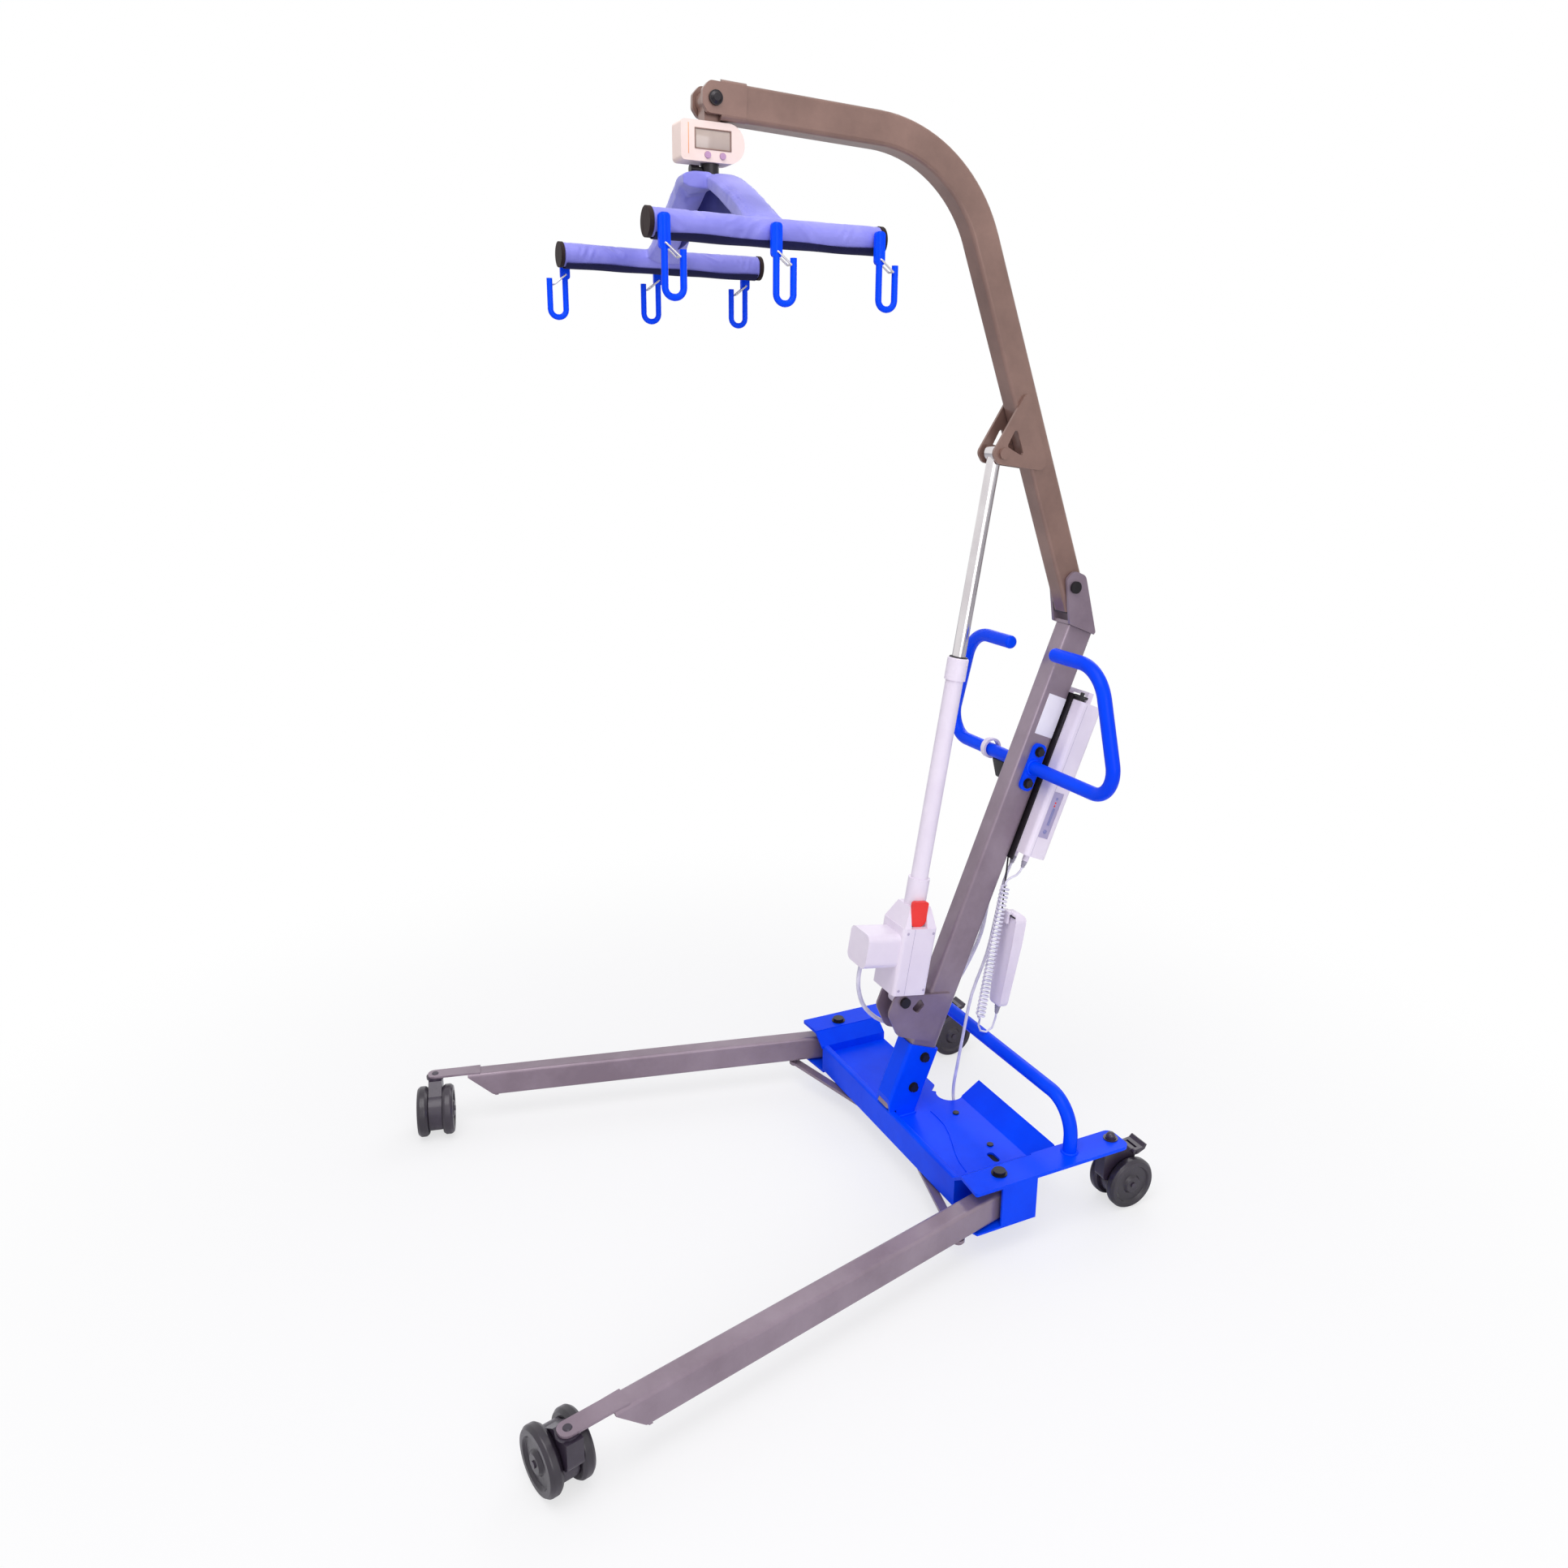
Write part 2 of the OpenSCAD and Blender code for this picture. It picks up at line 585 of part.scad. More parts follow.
module cord_clip() {
  clip_x = -114;
  hang = 3;
  color(white) place() translate([clip_x, handle_y, handle_z + hang]) rotate([0, 90, 0]) difference() {
    translate([0, 0, -6]) cylinder(r = pipe_r + hang + 4.5, h = 12);
    translate([0, 0, -7]) cylinder(r = pipe_r + hang - 0.05, h = 14);
  }
}

bracket_u = mast_d / 2;
bracket_t = 4;
box_u = bracket_u + bracket_t;
wire_root = from_mast([bracket_u + bracket_t / 2, box_low - 10]);
wire_r = 1.6;
module box_bracket() {
  color(black) on_mast() translate([-30, bracket_u + run, box_low - 18])
    cube([60, bracket_t - 2 * run, box_len + battery_len + 28]);
  // bent wire under the box that the handset hangs on
  color(black) place() pipe_run([[14, wire_root[0], wire_root[1]], [14, wire_y, wire_z], [56, wire_y, wire_z]], [0, 5, 0], wire_r);
}

module control_box() {
  color(white) difference() {
    on_mast() translate([0, box_u + box_d / 2, box_low]) difference() {
      linear_extrude(box_len) polygon(rectangle(box_w, box_d, 9));
      // recess of the side key strip
      translate([box_w / 2 - 1, -14, 40]) cube([4, 24, 90]);
    }
    on_mast() translate([0, box_u + box_d, stop_s]) rotate([-90, 0, 0]) translate([0, 0, -12.5]) cylinder(r = 8 + gap, h = 24);
  }
  // cord glands
  color(white) for (x = gland_x) on_mast() translate([x, box_u + box_d / 2, box_low - 14])
    cylinder(r = 6, h = 14.5);
}
stop_s = box_low + 70;
gland_x = [-34, 0, 34];

module battery_pack() {
  s0 = box_low + box_len + gap;
  color(white) on_mast() translate([0, box_u + box_d / 2, s0]) {
    linear_extrude(battery_len) polygon(rectangle(box_w, box_d, 9));
    // carrying bail at the top
    translate([-32, 4, battery_len - 0.5]) cube([8, 12, 14.5]);
    translate([24, 4, battery_len - 0.5]) cube([8, 12, 14.5]);
    translate([-32, 4, battery_len + 14]) cube([64, 12, 7]);
  }
}

module stop_button() {
  color("red") on_mast() translate([0, box_u + box_d, stop_s]) rotate([-90, 0, 0]) {
    translate([0, 0, -7.5]) cylinder(r = 8, h = 13.5);
    translate([0, 0, 6]) cylinder(r = 15, h = 9);
  }
}

// Handset that hangs on the wire hook
handset_x = 34;
handset_len = 190;
handset_w = 50;
handset_t = 24;
handset_lean = 8;
handset_top = [197, 478];
wire_y = handset_top[0] - (handset_t / 2 + 2.5) * cos(handset_lean) - 4 * sin(handset_lean);
wire_z = handset_top[1] + (handset_t / 2 + 2.5) * sin(handset_lean) - 4 * cos(handset_lean);
module on_handset() {
  place() translate([handset_x, handset_top[0], handset_top[1]]) rotate([-handset_lean, 0, 0])
    translate([0, 0, -handset_len]) children();
}
module handset() {
  color(white) difference() {
    on_handset() difference() {
      intersection() {
        translate([0, handset_t / 2, 0]) rotate([90, 0, 0]) linear_extrude(handset_t)
          polygon(rounded([[-handset_w / 2 + 8, 0, 12], [handset_w / 2 - 8, 0, 12], [handset_w / 2, handset_len - 60, 20],
              [handset_w / 2, handset_len, 14], [-handset_w / 2, handset_len, 14], [-handset_w / 2, handset_len - 60, 20]], 5));
        side_plate([[-handset_t / 2 + 3, 0, 6], [handset_t / 2 - 3, 0, 6], [handset_t / 2, handset_len - 40, 8],
            [handset_t / 2, handset_len, 8], [-handset_t / 2, handset_len, 8], [-handset_t / 2, handset_len - 40, 8]],
          -handset_w / 2, handset_w, 4);
      }
      // wells of the two rocker keys, in the rear face
      for (s = key_s) translate([-13.3, handset_t / 2 - 5, s - 13.3]) cube([26.6, 12, 26.6]);
      for (s = key_s) translate([0, handset_t / 2 - 2.4, s]) cross_pin(key_pin_r + run, -15.6, 15.6);
    }
  }
  // hook on the front face, open downwards
  color(white) on_handset() difference() {
    translate([-9, -handset_t / 2 - 9, handset_len - 20]) cube([18, 9.5, 24]);
    translate([-10, -handset_t / 2 - 5, handset_len - 21]) cube([20, 5, 19]);
  }
}
key_s = [handset_len - 48, handset_len - 82];
key_pin_r = 1.6;
module rocker(s) {
  on_handset() translate([-13, handset_t / 2 - 4.4, s - 13]) {
    union() {
      rotate([90, 0, 90]) linear_extrude(26) polygon([[3.4, 0.9], [0.2, 10], [0.2, 16], [3.4, 25.1], [5.8, 25.6], [4.8, 13], [5.8, 0.4]]);
      translate([0, 2, 13]) cross_pin(key_pin_r, -2, 28);
    }
  }
}
module lift_key() {
  color("dimgray") rocker(key_s[0]);
}
module spread_key() {
  color("dimgray") rocker(key_s[1]);
}

// Cord routes, chosen by hand from the leads' hang
gland_low = from_mast([box_u + box_d / 2, box_low - 14]);
gland_dir = [-sin(mast_lean), -cos(mast_lean)];
lift_cord_end = [-28, -98.4, 408];
lift_cord_points = [[-34, 192, 535], [-26, 176, 480], [-20, 160, 420], [-24, 135, 360],
  [-36, 105, 300], [-48, 60, 255], [-50, 10, 248], [-48, -40, 264], [-44, -77, 296], [-34, -98, 332], [-29, -103, 365],
  [-28, -101, 392], [-28, -99.7, 400]];
leg_cord_points = [[4, 190, 530], [8, 172, 460], [10, 155, 390], [10, 125, 310],
  [8, 112, 230], [4, 104, 160], [2, 99, 115], [6, 98, 84], [22, 97, 68], [40, 96, 64], [58, 96, 64]];
coil_r = 7.5;
coil_turns = 34;
coil_wire = 2;
coil_steps = 8;
coil_top = [34, 172, 538];
coil_low = [34, 130, 269];

function gland_end(x, d = 0) = [x, gland_low[0] + d * gland_dir[0], gland_low[1] + d * gland_dir[1]];
module lift_cord() {
  route = smooth(concat([gland_end(gland_x[0]), gland_end(gland_x[0], 8), gland_end(gland_x[0], 15)],
    lift_cord_points, [lift_cord_end]), 3);
  color(white) place() cord(route, 4, 8);
}
module leg_cord() {
  route = smooth(concat([gland_end(gland_x[1]), gland_end(gland_x[1], 7), gland_end(gland_x[1], 13)], leg_cord_points), 3);
  color(white) place() cord(route, 3, 8);
}

// Handset lead: a straight start, a run of curls, and a turn up into the handset
coil_axis = unit(coil_low - coil_top);
coil_side = unit(cross([1, 0, 0], coil_axis));
coil_span = norm(coil_low - coil_top);
function coil_at(k) = let (n = coil_turns * coil_steps, f = k / n, ease = min(1, k / 6, (n - k) / 6))
  coil_top + coil_axis * coil_span * f + coil_r * ease * (cos(360 * k / coil_steps) * [1, 0, 0]
    + sin(360 * k / coil_steps) * coil_side);
coil_points = [for (k = [0:coil_turns * coil_steps]) coil_at(k)];
handset_low = [handset_x, handset_top[0] - handset_len * sin(handset_lean), handset_top[1] - handset_len * cos(handset_lean)];
handset_axis = [0, sin(handset_lean), cos(handset_lean)];
handset_route = concat(
  [gland_end(gland_x[2]), gland_end(gland_x[2], 5), gland_end(gland_x[2], 10), [34, 204.5, 560], [34, 196.5, 553],
    [34, 186, 550], [34, 177, 546.5], [34, 173, 542.5]], coil_points,
  [[34, 128, 255], [34, 133, 243], [34, 146, 237], [34, 160, 243], handset_low - handset_axis * 28,
    handset_low - handset_axis * 12, handset_low]);
// Least distance between neighbouring curls, from wire surface to wire surface
coil_gap = min([for (i = [0:2:len(coil_points) - 1]) for (j = [i + coil_steps - 2:min(i + coil_steps + 2, len(coil_points) - 1)])
    norm(coil_points[i] - coil_points[j])]) - 2 * coil_wire;
echo(least_gap_between_curls = coil_gap);
module handset_cord() {
  color(white) place() cord(handset_route, coil_wire, 6);
}

// Leg actuator and linkage under the tray
leg_motor_x = 84;
leg_motor_y = 52;
leg_motor_z = 64;
leg_motor_h = 46;
leg_motor_end = 140;
carriage_y = -24;
carriage_pin_x = 40;
carriage_t = 6;
tie_z = 44;
tie_t = 6;
tie_pin_r = 5;
leg_tie_d = 95;
carriage_travel = 56.5;
leg_rod_r = 7;

module leg_actuator() {
  color(black) place() difference() {
    union() {
      translate([leg_motor_x - 26, leg_motor_y, leg_motor_z - leg_motor_h / 2])
        linear_extrude(leg_motor_h) polygon(rounded([[0, 0, 6], [52, 0, 6], [52, leg_motor_end - leg_motor_y, 6],
            [0, leg_motor_end - leg_motor_y, 6]], 4));
      translate([leg_motor_x + 20, leg_motor_end - 26, leg_motor_z]) cross_pin(20, 0, 92);
    }
    translate([leg_motor_x, leg_motor_y - 1, leg_motor_z]) rotate([-90, 0, 0])
      cylinder(r = leg_rod_r + run, h = carriage_travel + 22);
  }
}

module leg_carriage() {
  z0 = tie_z + tie_t + gap;
  color(steel) place() {
    difference() {
      translate([-carriage_pin_x - 16, carriage_y - 14, z0]) cube([leg_motor_x + carriage_pin_x + 32, 28, carriage_t]);
    }
    for (x = [-carriage_pin_x, carriage_pin_x]) translate([x, carriage_y, tie_z - 2.5]) {
      cylinder(r = tie_pin_r - 1.2, h = z0 - tie_z + 3);
      cylinder(r = 9, h = 2.2);
    }
    translate([leg_motor_x - 10, carriage_y - 8, z0 + carriage_t - 0.5]) cube([20, 16, leg_motor_z - z0 + 4]);
    translate([leg_motor_x, carriage_y, leg_motor_z]) rotate([-90, 0, 0])
      cylinder(r = leg_rod_r, h = leg_motor_y - carriage_y + 14);
  }
}

// Leg drawn pointing along -Y from its pivot, then turned open
module on_leg(s) {
  place() translate([s * pivot_x, 0, 0]) rotate([0, 0, s * leg_open]) children();
}
leg_tail = 24;
leg_cut_top = leg_len - 62;
leg_cut_low = leg_len - 113;

module leg() {
  tab_end = tab_w / 2;
  difference() {
    union() {
      difference() {
        translate([0, leg_tail, leg_z + leg_h / 2]) rotate([90, 0, 0]) linear_extrude(leg_cut_top + leg_tail)
          tube_section(leg_w, leg_h, leg_wall);
        // slanted front end
        side_plate([[-leg_cut_low, leg_z - 1, 0], [-leg_cut_top - 2, leg_top - 3, 0], [-leg_len, leg_top - 3, 0],
            [-leg_len, leg_z - 1, 0]], -leg_w, 2 * leg_w, 1);
      }
      // closing plate on the slant
      side_plate([[-leg_cut_low, leg_z, 0], [-leg_cut_top, leg_top - 3.5, 0], [-leg_cut_top + 6, leg_top - 3.5, 0],
          [-leg_cut_low + 6, leg_z, 0]], -leg_w / 2 + 1, leg_w - 2, 1);
      // caster tab
      translate([0, 0, leg_top - 1]) linear_extrude(4) polygon(rounded([[-leg_w / 2 + 3, -leg_cut_top + 24, 0],
          [-tab_w / 2 + 3, -leg_cut_top - 6, 0], [-tab_w / 2 + 3, -leg_len - tab_end + 3, 13],
          [tab_w / 2 - 3, -leg_len - tab_end + 3, 13], [tab_w / 2 - 3, -leg_cut_top - 6, 0],
          [leg_w / 2 - 3, -leg_cut_top + 24, 0]], 6));
      // pivot collar above and below, filled through the tube
      translate([0, 0, channel_low + sheet_t + gap]) cylinder(r = 14, h = arm_low - channel_low - sheet_t - 2 * gap);
      // tie rod pin
      translate([0, -leg_tie_d, tie_z - 2.5]) cylinder(r = tie_pin_r, h = leg_z - tie_z + 5.5);
      translate([0, -leg_tie_d, tie_z - 2.5]) cylinder(r = 9, h = 2.2);
    }
    cylinder(r = leg_pin_r + run, h = 300);
    translate([0, -leg_len, 0]) cylinder(r = stem_r + run, h = 300);
  }
}
module leg_right() {
  color(grey) on_leg(1) leg();
}
module leg_left() {
  color(grey) on_leg(-1) leg();
}

// Tie rod from the leg pin to the carriage pin
leg_tie_pin = [pivot_x + leg_tie_d * sin(leg_open), -leg_tie_d * cos(leg_open)];
tie_vec = [carriage_pin_x, carriage_y] - leg_tie_pin;
tie_len = norm(tie_vec);
module tie_rod() {
  place() translate([leg_tie_pin[0], leg_tie_pin[1], tie_z]) rotate([0, 0, atan2(tie_vec[1], tie_vec[0])]) difference() {
    union() {
      translate([0, -8, 0]) cube([tie_len, 16, tie_t]);
      cylinder(r = 11, h = tie_t);
      translate([tie_len, 0, 0]) cylinder(r = 11, h = tie_t);
    }
    translate([0, 0, -1]) cylinder(r = tie_pin_r + run, h = tie_t + 2);
    translate([tie_len, 0, -1]) cylinder(r = tie_pin_r + 2, h = tie_t + 2);
  }
}
module tie_rod_right() {
  color(brown) tie_rod();
}
module tie_rod_left() {
  color(brown) mirror([1, 0, 0]) tie_rod();
}

// Twin wheel caster, trailing along +Y from its stem at the origin
hood_w = wheel_gap - wheel_w - 2;
module fork(plate_low, plate_top, domed) {
  difference() {
    union() {
      translate([-hood_w / 2, trail, wheel_r]) rotate([0, 90, 0]) cylinder(r = wheel_r - 10, h = hood_w);
      side_plate([[-20, plate_low - 4, 0], [-20, wheel_r + 12, 10], [trail, wheel_r - 6, 0],
          [trail + 26, wheel_r + 26, 6], [18, plate_low - 4, 0]], -hood_w / 2, hood_w, 4);
      translate([0, 0, plate_low - 4 - gap]) cylinder(r = 17, h = 4);
      cylinder_up(stem_r, plate_low - 6, plate_top);
      translate([0, trail, wheel_r]) cross_pin(axle_r, -wheel_gap / 2 - wheel_w / 2 - 3, wheel_gap / 2 + wheel_w / 2 + 3);
    }
  }
  // washer and domed nut on the arm, or a low rivet head on the tab
  translate([0, 0, plate_top + 0.01]) {
    if (domed) {
      cylinder(r = 13, h = 2);
      cylinder(r = 10, h = 5);
      intersection() {
        translate([0, 0, 5]) sphere(r = 8.5);
        cylinder(r = 10, h = 20);
      }
    } else {
      cylinder(r1 = stem_r + 1.6, r2 = stem_r + 0.4, h = 1.6);
    }
  }
}
module cylinder_up(r, z0, z1) {
  translate([0, 0, z0]) cylinder(r = r, h = z1 - z0 + 1);
}

// Two wheels on one axle line
module wheel_pair() {
  hub = axle_r + run;
  rim = wheel_r - 12;
  for (s = [-1, 1]) translate([s * wheel_gap / 2, trail, wheel_r]) rotate([0, s * 90, 0]) rotate_extrude() polygon(
    rounded([[hub, -wheel_w / 2, 0], [wheel_r - 4, -wheel_w / 2, 2], [wheel_r, -wheel_w / 2 + 5, 4],
        [wheel_r, wheel_w / 2 - 5, 4], [wheel_r - 4, wheel_w / 2, 2], [rim, wheel_w / 2, 1.5], [rim - 3, wheel_w / 2 - 4, 2],
        [18, wheel_w / 2 - 4, 2], [14, wheel_w / 2 + 1, 2], [hub, wheel_w / 2 + 1, 0]], 3));
}

module on_front(s) {
  on_leg(s) translate([0, -leg_len, 0]) rotate([0, 0, s * 90]) children();
}
module on_rear(s) {
  place() translate([s * rear_x, rear_stem_y, 0]) children();
}
tab_low = leg_top - 1;
tab_top = leg_top + 3;
module fork_front_right() {
  color(black) on_front(1) fork(tab_low, tab_top, false);
}
module fork_front_left() {
  color(black) on_front(-1) fork(tab_low, tab_top, false);
}
module rear_fork() {
  fork(arm_low, arm_top, true);
  pedal_lug();
}
module fork_rear_right() {
  color(black) on_rear(1) rear_fork();
}
module fork_rear_left() {
  color(black) on_rear(-1) rear_fork();
}
module wheels_front_right() {
  color(black) on_front(1) wheel_pair();
}
module wheels_front_left() {
  color(black) on_front(-1) wheel_pair();
}
module wheels_rear_right() {
  color(black) on_rear(1) wheel_pair();
}
module wheels_rear_left() {
  color(black) on_rear(-1) wheel_pair();
}

// Brake pedal hinged on a lug of the rear fork, over the wheels
pedal_y = trail + 14;
pedal_z = 2 * wheel_r + 7;
pedal_pin_r = 3;
module pedal() {
  translate([0, pedal_y, pedal_z]) difference() {
    side_plate([[-6, -5, 4.5], [5, -5, 4], [20, 1, 2], [25, 10, 2], [21, 11, 1.5], [15, 6, 2], [4, 5, 3], [-6, 5, 4.5]], -19, 38, 3);
    translate([-hood_w / 2 - gap, -8, -8]) cube([hood_w + 2 * gap, 8 + 7, 16]);
    cross_pin(pedal_pin_r + run, -30, 30);
  }
}
module pedal_lug() {
  translate([0, pedal_y, pedal_z]) {
    side_plate([[-6, 4.5, 3], [5, 4.5, 3], [5.5, -4, 0], [0, -30, 0], [-16, -40, 0], [-24, -12, 0]], -hood_w / 2, hood_w, 3);
    cross_pin(pedal_pin_r, -18, 18);
  }
}
module pedal_right() {
  color(black) on_rear(1) pedal();
}
module pedal_left() {
  color(black) on_rear(-1) pedal();
}

// Lift actuator
motor_front = 38;
motor_back = 34;
motor_low = 20;
motor_top = 150;
neck_top = 236;
tab_y0 = -21;
tab_y1 = 12;
module motor_housing() {
  color(white) on_actuator() difference() {
    union() {
      translate([0, (motor_back - motor_front) / 2, motor_low]) linear_extrude(motor_top - motor_low)
        polygon(rounded([[-motor_w / 2, -(motor_back + motor_front) / 2, 7], [motor_w / 2, -(motor_back + motor_front) / 2, 7],
            [motor_w / 2, (motor_back + motor_front) / 2, 7], [-motor_w / 2, (motor_back + motor_front) / 2, 7]], 4));
      hull() {
        translate([-motor_w / 2 + 2, -motor_front + 2, motor_top - 1]) cube([motor_w - 4, motor_back + motor_front - 4, 1]);
        translate([-22, -22, motor_top + 35]) cube([44, 44, 1]);
      }
      translate([0, 0, motor_top + 30]) cylinder(r = 20, h = neck_top - motor_top - 30);
      // motor standing out to the front
      translate([0, -motor_front + 5, 103]) rotate([90, 0, 0]) linear_extrude(72)
        polygon(rounded([[-34, -32, 13], [34, -32, 13], [34, 33, 13], [-34, 33, 13]], 6));
      // rear eye on the lower pin
      side_plate([[-13, motor_low + 2, 0], [-13, -13, 12.5], [13, -13, 12.5], [13, motor_low + 2, 0]], -14, 28, 6);
    }
    cross_pin(motor_pin_r + run, -60, 60);
    translate([0, 0, motor_top + 40]) cylinder(r = tube_r + run, h = 200);
    // notch of the release tab in the shoulder
    translate([20.2, tab_y0 - gap, motor_top]) cube([60, tab_y1 - tab_y0 + 2 * gap, 60]);
  }
}

module motor_tube() {
  collar = 40;
  color(white) on_actuator() difference() {
    union() {
      translate([0, 0, motor_top + 40 + run]) cylinder(r = tube_r, h = tube_end - motor_top - 40 - run);
      translate([0, 0, tube_end - collar]) cylinder(r = tube_r + 3, h = collar - 2);
      translate([0, 0, tube_end - 2]) cylinder(r1 = tube_r + 3, r2 = tube_r + 1, h = 2);
    }
    translate([0, 0, motor_top]) cylinder(r = rod_r + run, h = tube_end);
  }
}

module release_collar() {
  color("red") on_actuator() side_plate([[tab_y0, motor_top + gap, 12], [tab_y1, motor_top + gap, 12],
      [tab_y1, motor_top + 48, 5], [tab_y0, motor_top + 48, 5]], 20.5, 8);
}

rod_eye_w = 24;
module lift_rod() {
  color(steel) on_actuator() difference() {
    union() {
      translate([0, 0, tube_end - 130]) cylinder(r = rod_r, h = rod_len - tube_end + 130 - 12);
      translate([0, 0, rod_len]) cross_pin(14, -rod_eye_w / 2, rod_eye_w / 2);
      translate([0, 0, rod_len - 34]) cylinder(r = rod_r, h = 26);
    }
    translate([0, 0, rod_len]) cross_pin(6, -60, 60);
  }
}

// Boom
module boom_tube() {
  section_r = 6;
  color(brown) difference() {
    union() {
      on_boom() translate([0, 0, -40]) linear_extrude(boom_low_len + 40 + lap) tube_section(boom_w, boom_d, boom_wall);
      place() translate([0, bend_centre[0], bend_centre[1]]) rotate([boom_lean, 0, 0]) rotate([90, 0, 90])
        rotate_extrude(angle = boom_turn, $fn = 96) translate([boom_bend_r, 0]) rotate(90)
          tube_section(boom_w - 2 * lap_in, boom_d - 2 * lap_in, boom_wall - 2 * lap_in);
      place() translate([0, bend_end[0], bend_end[1]]) rotate([90 - boom_rise, 0, 0]) translate([0, 0, -lap])
        linear_extrude(boom_tip_len - 32 + lap) tube_section(boom_w, boom_d, boom_wall);
    }
    on_boom() cross_pin(bush_r, -60, 60);
  }
}
bush_r = boom_pin_r + 5;
module boom_bush() {
  color(steel) on_boom() difference() {
    cross_pin(bush_r, -boom_w / 2 - 0.6, boom_w / 2 + 0.6);
    cross_pin(boom_pin_r + run, -60, 60);
  }
}

lift_plate_t = 5;
module lift_bracket() {
  v = lift_pin_v;
  t = lift_pin_t;
  plate = [[6, t - 64, 14], [6, t + 84, 8], [-v - 20, t + 8, 12], [-v - 16, t - 12, 12]];
  hole = [[-36, t + 32, 4], [-v + 11, t + 8, 4], [-36, t - 22, 4]];
  color(brown) on_boom() {
    difference() {
      union() {
        side_plate(plate, boom_w / 2 + run, lift_plate_t);
        side_plate(plate, -boom_w / 2 - lift_plate_t - run, lift_plate_t);
      }
      side_plate(hole, -60, 120);
      translate([0, -v, t]) cross_pin(6, -60, 60);
    }
    // pin ends, the shank between the plates left out
    translate([0, -v, t]) {
      cross_pin(6 - run, boom_w / 2 + 1, boom_w / 2 + lift_plate_t + 1);
      cross_pin(9, boom_w / 2 + lift_plate_t + run, boom_w / 2 + lift_plate_t + 5);
      cross_pin(6 - run, -boom_w / 2 - lift_plate_t - 1, -boom_w / 2 - 1);
      cross_pin(9, -boom_w / 2 - lift_plate_t - 6, -boom_w / 2 - lift_plate_t - run);
    }
  }
}

tip_pin_r = 6;
tip_w = 32;
module boom_tip() {
  sleeve = 38;
  out_w = boom_w + 8;
  out_d = boom_d + 3;
  color(brown) on_tip() difference() {
    union() {
      translate([0, boom_tip_sleeve_y, 0]) rotate([-90, 0, 0]) linear_extrude(sleeve) polygon(rectangle(out_w, out_d, 7));
      for (x = [tip_w / 2, -tip_w / 2 - 8]) side_plate([[12, -20, 0], [-10, -20, 8], [-19, -9, 8], [-19, 10, 9],
          [-9, 22, 9], [12, 22, 0]], x, 8, 6);
    }
    translate([0, boom_tip_sleeve_y + 22, 0]) rotate([-90, 0, 0]) linear_extrude(60) polygon(rectangle(boom_w + 2 * run, boom_d + 2 * run, 6));
    translate([-tip_w / 2, -60, -60]) cube([tip_w, 60 + 22, 120]);
    cross_pin(tip_pin_r + run, -60, 60);
  }
}
boom_tip_sleeve_y = 10;

module tip_bolt() {
  x1 = tip_w / 2 + 8;
  color(black) on_tip() {
    cross_pin(tip_pin_r, -x1 - 2, x1 + 2);
    cross_pin(10, x1, x1 + 4);
    translate([x1 + 4, 0, 0]) rotate([0, 90, 0]) cylinder(r1 = 8.5, r2 = 5, h = 4);
    cross_pin(10, -x1 - 8, -x1);
  }
}

// Hanger, hanging straight down from the tip bolt
module on_hanger() {
  place() translate([0, tip[0], tip[1]]) children();
}
scale_top = -29.5;
scale_low = scale_top - scale_h;
scale_y0 = -scale_w / 2 - 1.5;
scale_y1 = scale_w / 2 - 1.5;
swivel_low = scale_low - 14;
stud_r = 7;
foot_r = 9.5;
swivel_r = 13.5;
module hanger_eye() {
  color(brown) on_hanger() difference() {
    union() {
      cross_pin(15, -tip_w / 2 + 1, tip_w / 2 - 1);
      translate([-12, -12, scale_top + gap]) cube([24, 24, -scale_top - 6]);
      translate([0, 0, swivel_low]) cylinder(r = stud_r, h = scale_top - swivel_low + 1);
      translate([0, 0, swivel_low - 6]) cylinder(r = foot_r, h = 6.2);
    }
    cross_pin(tip_pin_r + run, -60, 60);
  }
}

key_y = [-10, 13];
scale_key_z = scale_low + 9;
scale_key_r = 4.5;
module scale_unit() {
  color(white) on_hanger() difference() {
    side_plate([[scale_y0, scale_low, 6], [scale_y1, scale_low, 25], [scale_y1, scale_top, 25], [scale_y0, scale_top, 6]],
      -scale_t / 2, scale_t, 8);
    // recess of the number display
    translate([scale_t / 2 - 1.5, -28, scale_top - 36]) cube([3, 53, 25]);
    translate([0, 0, scale_low - 1]) cylinder(r = stud_r + run, h = 100);
    for (y = key_y) translate([0, y, scale_key_z]) cross_pin(scale_key_r + gap, scale_t / 2 - 6, scale_t);
  }
}
module scale_key(i) {
  on_hanger() translate([0, key_y[i], scale_key_z]) cross_pin(scale_key_r, scale_t / 2 - 4, scale_t / 2 + 1.8);
}
module scale_key_one() {
  color("plum") scale_key(0);
}
module scale_key_two() {
  color("plum") scale_key(1);
}

